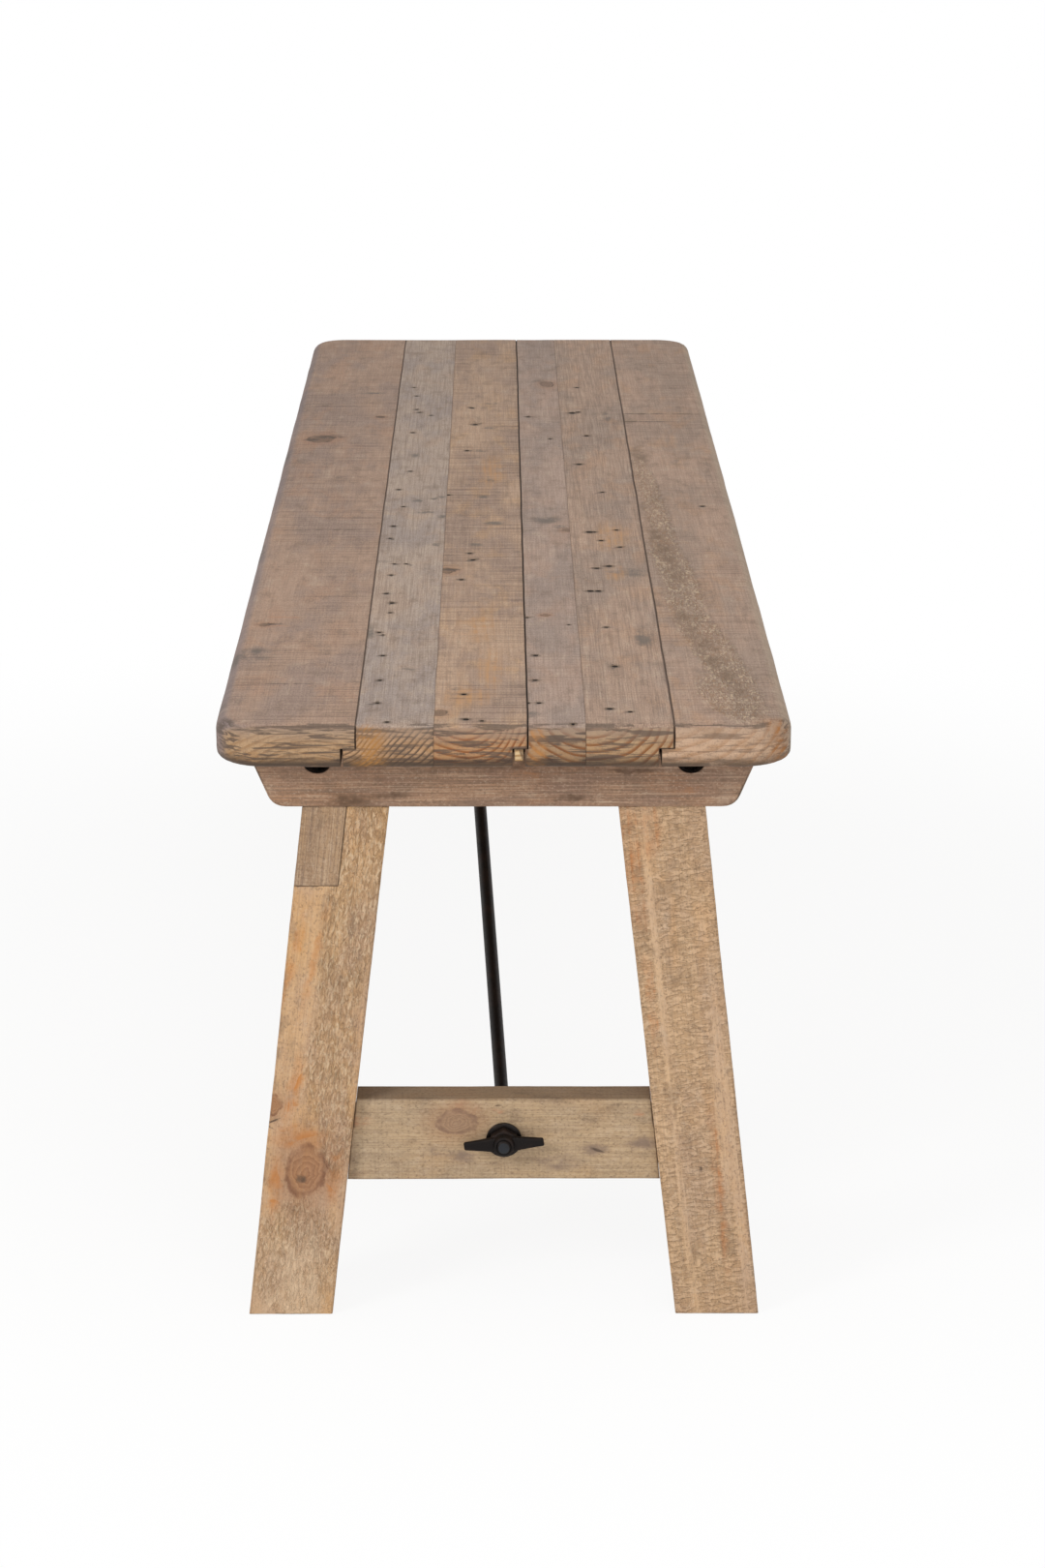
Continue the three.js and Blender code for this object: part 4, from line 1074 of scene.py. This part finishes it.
rod_low, rod_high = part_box("near_rod")
tip = rod_low.y
stretcher_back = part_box("near_stretcher")[1].y
palm_screw_place = middle_of("near_palm_screw")
rod_level = rod_low.z + ROD_RADIUS
low_bend = Vector((0, stretcher_back + STRAIGHT_BEHIND, rod_level))
high_bend = Vector((palm_screw_place.x, palm_screw_place.y - PALM_HEEL, rod_high.z - PALM_HALF_THICKNESS))
slope = (high_bend - low_bend).normalized()
bend_angle = ALONG.angle(slope)
bend_radius = BEND_TANGENT / tan(bend_angle / 2)
print("bend in degrees:", round(degrees(bend_angle), 2), "radius in mm:", round(bend_radius / MM, 1))


# %% Steps of the smith
def on_rod_axis(name, kind, vertices, place, **size):
    """A round solid about the rod's axis, with its middle at a place along the bench."""
    return start_solid(name, kind, turn=(radians(90), 0, 0), vertices=vertices,
                       location=(0, place, rod_level), **size)


def end_middle():
    """The middle of the selected points."""
    mesh = bpy.context.object.data
    bpy.ops.object.mode_set(mode="OBJECT")
    picked = [point.co.copy() for point in mesh.vertices if point.select]
    bpy.ops.object.mode_set(mode="EDIT")
    return sum(picked, Vector()) / len(picked)


def push(way, length, squash=(1, 1, 1)):
    """Extrudes the selected end by a length, then squashes it about its own middle."""
    bpy.ops.mesh.extrude_region_move(TRANSFORM_OT_translate={"value": way * length})
    if squash != (1, 1, 1):
        bpy.ops.transform.resize(value=squash, center_override=end_middle())


def turn_end(from_way, to_way):
    """Spins the selected end round a bend. The operator turns clockwise about its axis."""
    aside = (to_way - from_way * from_way.dot(to_way)).normalized()
    centre = end_middle() + aside * bend_radius
    bpy.ops.mesh.spin(steps=5, angle=bend_angle, center=centre, axis=aside.cross(from_way))


def face_outwards():
    """Turns every face of the edited piece outwards."""
    bpy.ops.mesh.select_all(action="SELECT")
    bpy.ops.mesh.normals_make_consistent(inside=False)


# %% The near rod
ROD_SIDES = 24
PLAIN_FROM = 2 * MM
FORGE_LENGTH = 44 * MM
FORGE_STEPS = 6
TOE_SHARES = (0, 0.45, 0.75, 0.93, 1)
BLUNT_TOE_SHARE = 0.15

rod_start = stretcher_back + PLAIN_FROM
rod = on_rod_axis("forged_near_rod", "circle", ROD_SIDES, rod_start, radius=ROD_RADIUS, fill_type="NGON")
wide = (PALM_HALF_WIDTH / ROD_RADIUS) ** (1 / FORGE_STEPS)
thin = (PALM_HALF_THICKNESS / ROD_RADIUS) ** (1 / FORGE_STEPS)
with edited(rod):
    push(ALONG, low_bend.y - BEND_TANGENT - rod_start)
    turn_end(ALONG, slope)
    push(slope, (high_bend - low_bend).length - 2 * BEND_TANGENT - FORGE_LENGTH)
    for step in range(FORGE_STEPS):
        push(slope, FORGE_LENGTH / FORGE_STEPS, (wide, thin, thin))
    turn_end(slope, ALONG)
    push(ALONG, rod_high.y - end_middle().y - PALM_HALF_WIDTH)
    width_before = 1
    for before, share in zip(TOE_SHARES, TOE_SHARES[1:]):
        width = max(BLUNT_TOE_SHARE, (1 - share ** 2) ** 0.5)
        push(ALONG, PALM_HALF_WIDTH * (share - before), (width / width_before, 1, 1))
        width_before = width
    face_outwards()
print("rod's size in mm:", in_mm(rod.dimensions), "CAD rod:", in_mm(rod_high - rod_low))

# %% [markdown]
# The palm is hammered flat under the cleat, so its top and bottom points are pressed into two planes.
# Its toe is rounded. The far rod is the same bar, turned half round about the middle of the bench.

# %% The palm
# What lies this near a place counts as lying at it
AT_A_PLACE = 0.1 * MM

palm_start = high_bend.y + BEND_TANGENT - AT_A_PLACE
for side in (-1, 1):
    plane = high_bend.z + side * PALM_HALF_THICKNESS
    with edited(rod, lambda place: place.y > palm_start and side * (place.z - plane) > 0):
        bpy.ops.transform.resize(value=(1, 1, 0), center_override=(0, 0, plane))

# %% [markdown]
# ## Thread
# The thread is cut with a die, pitch 1.5 mm. A zigzag of one pitch, wound up by a Screw modifier,
# gives the true helix. Its two ends are cut flat, and a blank with a chamfered tip trims it as a file
# would. A ribbed pattern in the material would be enough far away, but not where the nut meets it.

# %% The thread on the rod
THREAD_PITCH = 1.5 * MM
THREAD_STEPS = 24
THREAD_LAP = 1 * MM
SPARE_TURNS = 3
HELIX_MERGE = 0.02 * MM
CUT_MERGE = 0.01 * MM
TIP_CHAMFER = 1 * MM
BLANK_SPARE = 1 * MM
CREST_FLAT = 0.09 * MM
NEAR_AN_END = 1 * MM

thread_end = rod_start + THREAD_LAP
turns = round((thread_end - tip) / THREAD_PITCH) + SPARE_TURNS
thread = start_solid("thread", "plane", turn=(0, 0, radians(45)), size=THREAD_PITCH / 2 ** 0.5,
                     location=(ROD_RADIUS - THREAD_PITCH / 2, 0, 0))
with edited(thread, lambda place: place.x < ROD_RADIUS - THREAD_PITCH * 0.7):
    bpy.ops.mesh.delete(type="VERT")
apply(thread, "SCREW", axis="Y", angle=radians(360), screw_offset=THREAD_PITCH, iterations=turns,
      steps=THREAD_STEPS, render_steps=THREAD_STEPS)
print("thread turns:", turns, "size in mm:", in_mm(thread.dimensions))
helix_start = min(point.co.y for point in thread.data.vertices)
with edited(thread):
    bpy.ops.mesh.remove_doubles(threshold=HELIX_MERGE)
    bpy.ops.transform.translate(value=(0, tip - SPARE_TURNS / 2 * THREAD_PITCH - helix_start, rod_level))
    for place, beyond in ((tip, False), (thread_end, True)):
        bpy.ops.mesh.select_all(action="SELECT")
        bpy.ops.mesh.bisect(plane_co=(0, place, 0), plane_no=(0, 1, 0), use_fill=True, clear_outer=beyond,
                            clear_inner=not beyond)
    face_outwards()

blank_length = thread_end - tip + BLANK_SPARE
blank = on_rod_axis("blank", "cylinder", 48, tip + blank_length / 2, radius=ROD_RADIUS - CREST_FLAT,
                    depth=blank_length)
with edited(blank, lambda place: place.y < tip + NEAR_AN_END):
    bpy.ops.mesh.bevel(offset=TIP_CHAMFER, segments=1, affect="EDGES")
carve(thread, blank, "INTERSECT")
with edited(thread):
    bpy.ops.mesh.remove_doubles(threshold=CUT_MERGE)
carve(rod, thread, "UNION")
print("rod with its thread:", len(rod.data.polygons), "faces")


# %% Both rods in place
def turned_half_round(piece, name):
    """A copy for the far trestle, with its own mesh, turned half round about the bench's middle."""
    far = new_object(name, piece.data.copy())
    with edited(far):
        bpy.ops.transform.rotate(value=radians(180), orient_axis="Z", center_override=(0, 0, 0))
    return far


def finish_both(near, finish, node, rides_frame=False):
    """Finishes a near piece and its copy for the far trestle, and returns both by their ends."""
    both = {"near": near, "far": turned_half_round(near, near.name.replace("near", "far"))}
    for end, piece in both.items():
        in_hand(piece)
        finish_piece(piece, finish, "frame" if rides_frame else end + node, "iron", end + node)
    return both


for piece in finish_both(rod, rod_iron, "_rod", rides_frame=True).values():
    piece.data.materials.append(sawn_steel)
    for face in piece.data.polygons:
        if abs(face.center.y) > abs(tip) - AT_A_PLACE:
            face.material_index = 1

# %% [markdown]
# ## Washers
# A washer is stamped from sheet iron and tumbled, so its rims are a little rounded. It starts as a
# circle: its rim is drawn inwards to make a ring, and the ring is given its thickness.

# %% Washers
WASHER_BORE_RADIUS = 5.5 * MM
WASHER_ROUND = 0.4 * MM

washer_low, washer_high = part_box("near_washer")
washer_radius = (washer_high.x - washer_low.x) / 2
washer = on_rod_axis("stamped_near_washer", "circle", 64, washer_low.y, radius=washer_radius)
with edited(washer):
    bpy.ops.mesh.extrude_edges_move()
    bpy.ops.transform.resize(value=[WASHER_BORE_RADIUS / washer_radius] * 3, center_override=end_middle())
    bpy.ops.mesh.select_all(action="SELECT")
    push(ALONG, washer_high.y - washer_low.y)
    face_outwards()
    soften(washer, WASHER_ROUND, segments=3)
finish_both(washer, washer_iron, "_washer")

# %% [markdown]
# ## Wing nuts
# The wing nut is the most skilled piece of iron on the bench: cast in sand, with a hexagon for a
# spanner, a boss, and two wings for the fingers. Castings have no sharp inner corners. So the parts
# are built plainly, joined, and remeshed into one skin that is then smoothed, which rounds every
# corner and leaves a fillet where the wings grow out of the boss. Bevelling each of those meeting
# edges by hand would be slow and would break where three of them meet.

# %% Wing nuts
HEX_ACROSS_FLATS = 19 * MM
HEX_HEIGHT = 6.5 * MM
HEX_CHAMFER = 1.4 * MM
BOSS_RADII = (9 * MM, 7.25 * MM)
BOSS_BEHIND_SEAT = 1 * MM
BOSS_ROUND = 1.2 * MM

nut_low, nut_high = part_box("near_wing_nut")
seat_face, front_face = nut_high.y, nut_low.y
hex_middle = seat_face - HEX_HEIGHT / 2
hex_size = dict(radius=HEX_ACROSS_FLATS / 2 / cos(radians(30)), depth=HEX_HEIGHT)
hexagon = on_rod_axis("cast_near_wing_nut", "cylinder", 6, hex_middle, **hex_size)
trim = on_rod_axis("trim", "cylinder", 64, hex_middle, **hex_size)
with edited(trim, lambda place: place.y < hex_middle):
    bpy.ops.mesh.bevel(offset=HEX_CHAMFER, segments=1, affect="EDGES")
carve(hexagon, trim, "INTERSECT")
boss_depth = seat_face - BOSS_BEHIND_SEAT - front_face
boss = on_rod_axis("boss", "cone", 64, front_face + boss_depth / 2, radius1=BOSS_RADII[0],
                   radius2=BOSS_RADII[1], depth=boss_depth)
with edited(boss, lambda place: place.y < front_face + NEAR_AN_END):
    bpy.ops.mesh.bevel(offset=BOSS_ROUND, segments=4, affect="EDGES")
front = [abs(point.co.x) for point in boss.data.vertices if point.co.y < front_face + AT_A_PLACE]
print("nut from", round(front_face / MM, 1), "to", round(seat_face / MM, 1), "boss narrow end at the front:",
      max(front) < BOSS_RADII[0])

# %% Wings
WING_ROOT = (12 * MM, 5.2 * MM)
WING_TIP = (5.8 * MM, 3.2 * MM)
WING_STEPS = 4
WING_STUB = 4 * MM
WING_TILT = radians(3.6)
WING_ROUND = 0.9 * MM

wing_length = (nut_high.x - nut_low.x) / 2 / cos(WING_TILT)
wing_middle = Vector((0, (seat_face + front_face) / 2, rod_level))
deep, thin = ((at_tip / at_root) ** (1 / WING_STEPS) for at_tip, at_root in zip(WING_TIP, WING_ROOT))
wings = []
for side in (-1, 1):
    way = Vector((cos(WING_TILT), 0, sin(WING_TILT))) * side
    wing = start_solid("wing", "cube", turn=(0, -WING_TILT, 0), size=1,
                       scale=(WING_STUB, WING_ROOT[1], WING_ROOT[0]),
                       location=wing_middle + way * WING_STUB / 2)
    with edited(wing, lambda place: (place - wing_middle).dot(way) > WING_STUB / 2):
        for step in range(WING_STEPS):
            push(way, (wing_length - WING_STUB) / WING_STEPS, (1, thin, deep))
        face_outwards()
        soften(wing, WING_ROUND)
    wings.append(wing)
tips = [max((point.co for point in wing.data.vertices), key=lambda place: abs(place.x)) for wing in wings]
print("tips in mm:", [in_mm(place) for place in tips])

# %% One skin
SKIN = 0.42 * MM
NUT_BORE_RADIUS = 5.35 * MM
BORE_LENGTH = 20 * MM

for part in (boss, *wings):
    carve(hexagon, part, "UNION")
in_hand(hexagon)
apply(hexagon, "REMESH", mode="VOXEL", voxel_size=SKIN)
apply(hexagon, "SMOOTH", factor=0.5, iterations=4)
nut_bore = on_rod_axis("nut_bore", "cylinder", 48, wing_middle.y, radius=NUT_BORE_RADIUS, depth=BORE_LENGTH)
carve(hexagon, nut_bore)
for piece in finish_both(hexagon, nut_iron, "_wing_nut").values():
    print("past the CAD nut in mm:", in_mm(piece.dimensions - (nut_high - nut_low)))

# %% [markdown]
# ## Screws
# Black countersunk screws with a cross recess hold the bearers, the cleat and the palms. One screw is
# turned and its recess cut, and every other screw is a copy with its shank made longer.

# %% One screw
HEAD_RADIUS = 4.5 * MM
HEAD_RIM = 0.4 * MM
HEAD_DEPTH = 2.6 * MM
SHANK_RADIUS = 1.9 * MM
POINT_LENGTH = 7 * MM
POINT_SHARE = 0.2
SHORTEST = 35.5 * MM
BLADE = (4.6 * MM, 1 * MM, 3.6 * MM)
BLADE_POINT_SHARE = 0.45

UPWARDS = Vector((0, 0, 1))
shank_length = SHORTEST - HEAD_RIM - HEAD_DEPTH - POINT_LENGTH
first_screw = start_solid("countersunk_screw", "circle", vertices=40, radius=HEAD_RADIUS, fill_type="NGON")
with edited(first_screw):
    for length, share in ((HEAD_RIM, 1), (HEAD_DEPTH, SHANK_RADIUS / HEAD_RADIUS), (shank_length, 1),
                          (POINT_LENGTH, POINT_SHARE)):
        push(UPWARDS, length, (share, share, 1))
    face_outwards()
for quarter in range(2):
    blade = start_solid("blade", "cube", turn=(0, 0, radians(90 * quarter)), size=1, scale=BLADE)
    with edited(blade, lambda place: place.z > 0):
        bpy.ops.transform.resize(value=(BLADE_POINT_SHARE, BLADE_POINT_SHARE, 1), center_override=(0, 0, 0))
    carve(first_screw, blade)
print("screw length in mm:", round(first_screw.dimensions.z / MM, 1))

# %% Every screw
POCKET_ANGLE = radians(45)

for name in [each for each in nodes if "_screw" in each]:
    low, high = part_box(name)
    middle = middle_of(name)
    screw = new_object(name.replace("screw", "steel_screw"), first_screw.data.copy())
    if "pocket" in name:
        end = 1 if low.y < 0 else -1
        drop = HEAD_RADIUS * sin(POCKET_ANGLE)
        screw.location = (middle.x, low.y + drop if end > 0 else high.y - drop, low.z + drop)
        screw.rotation_euler = (-end * POCKET_ANGLE, 0, 0)
    else:
        screw.location = (middle.x, middle.y, low.z)
        with edited(screw, lambda place: place.z > SHORTEST / 2):
            bpy.ops.transform.translate(value=(0, 0, high.z - low.z - SHORTEST))
    in_hand(screw)
    bpy.ops.object.transform_apply(location=True, rotation=True, scale=True)
    finish_piece(screw, screw_steel, "frame", "screws", name)
bpy.data.objects.remove(first_screw)

# %% [markdown]
# ## Sizes
# The boxes of the CAD model and of the dressed bench are both printed.

# %% Sizes and finish
low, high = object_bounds()
print("visual box in mm:", in_mm(high - low))
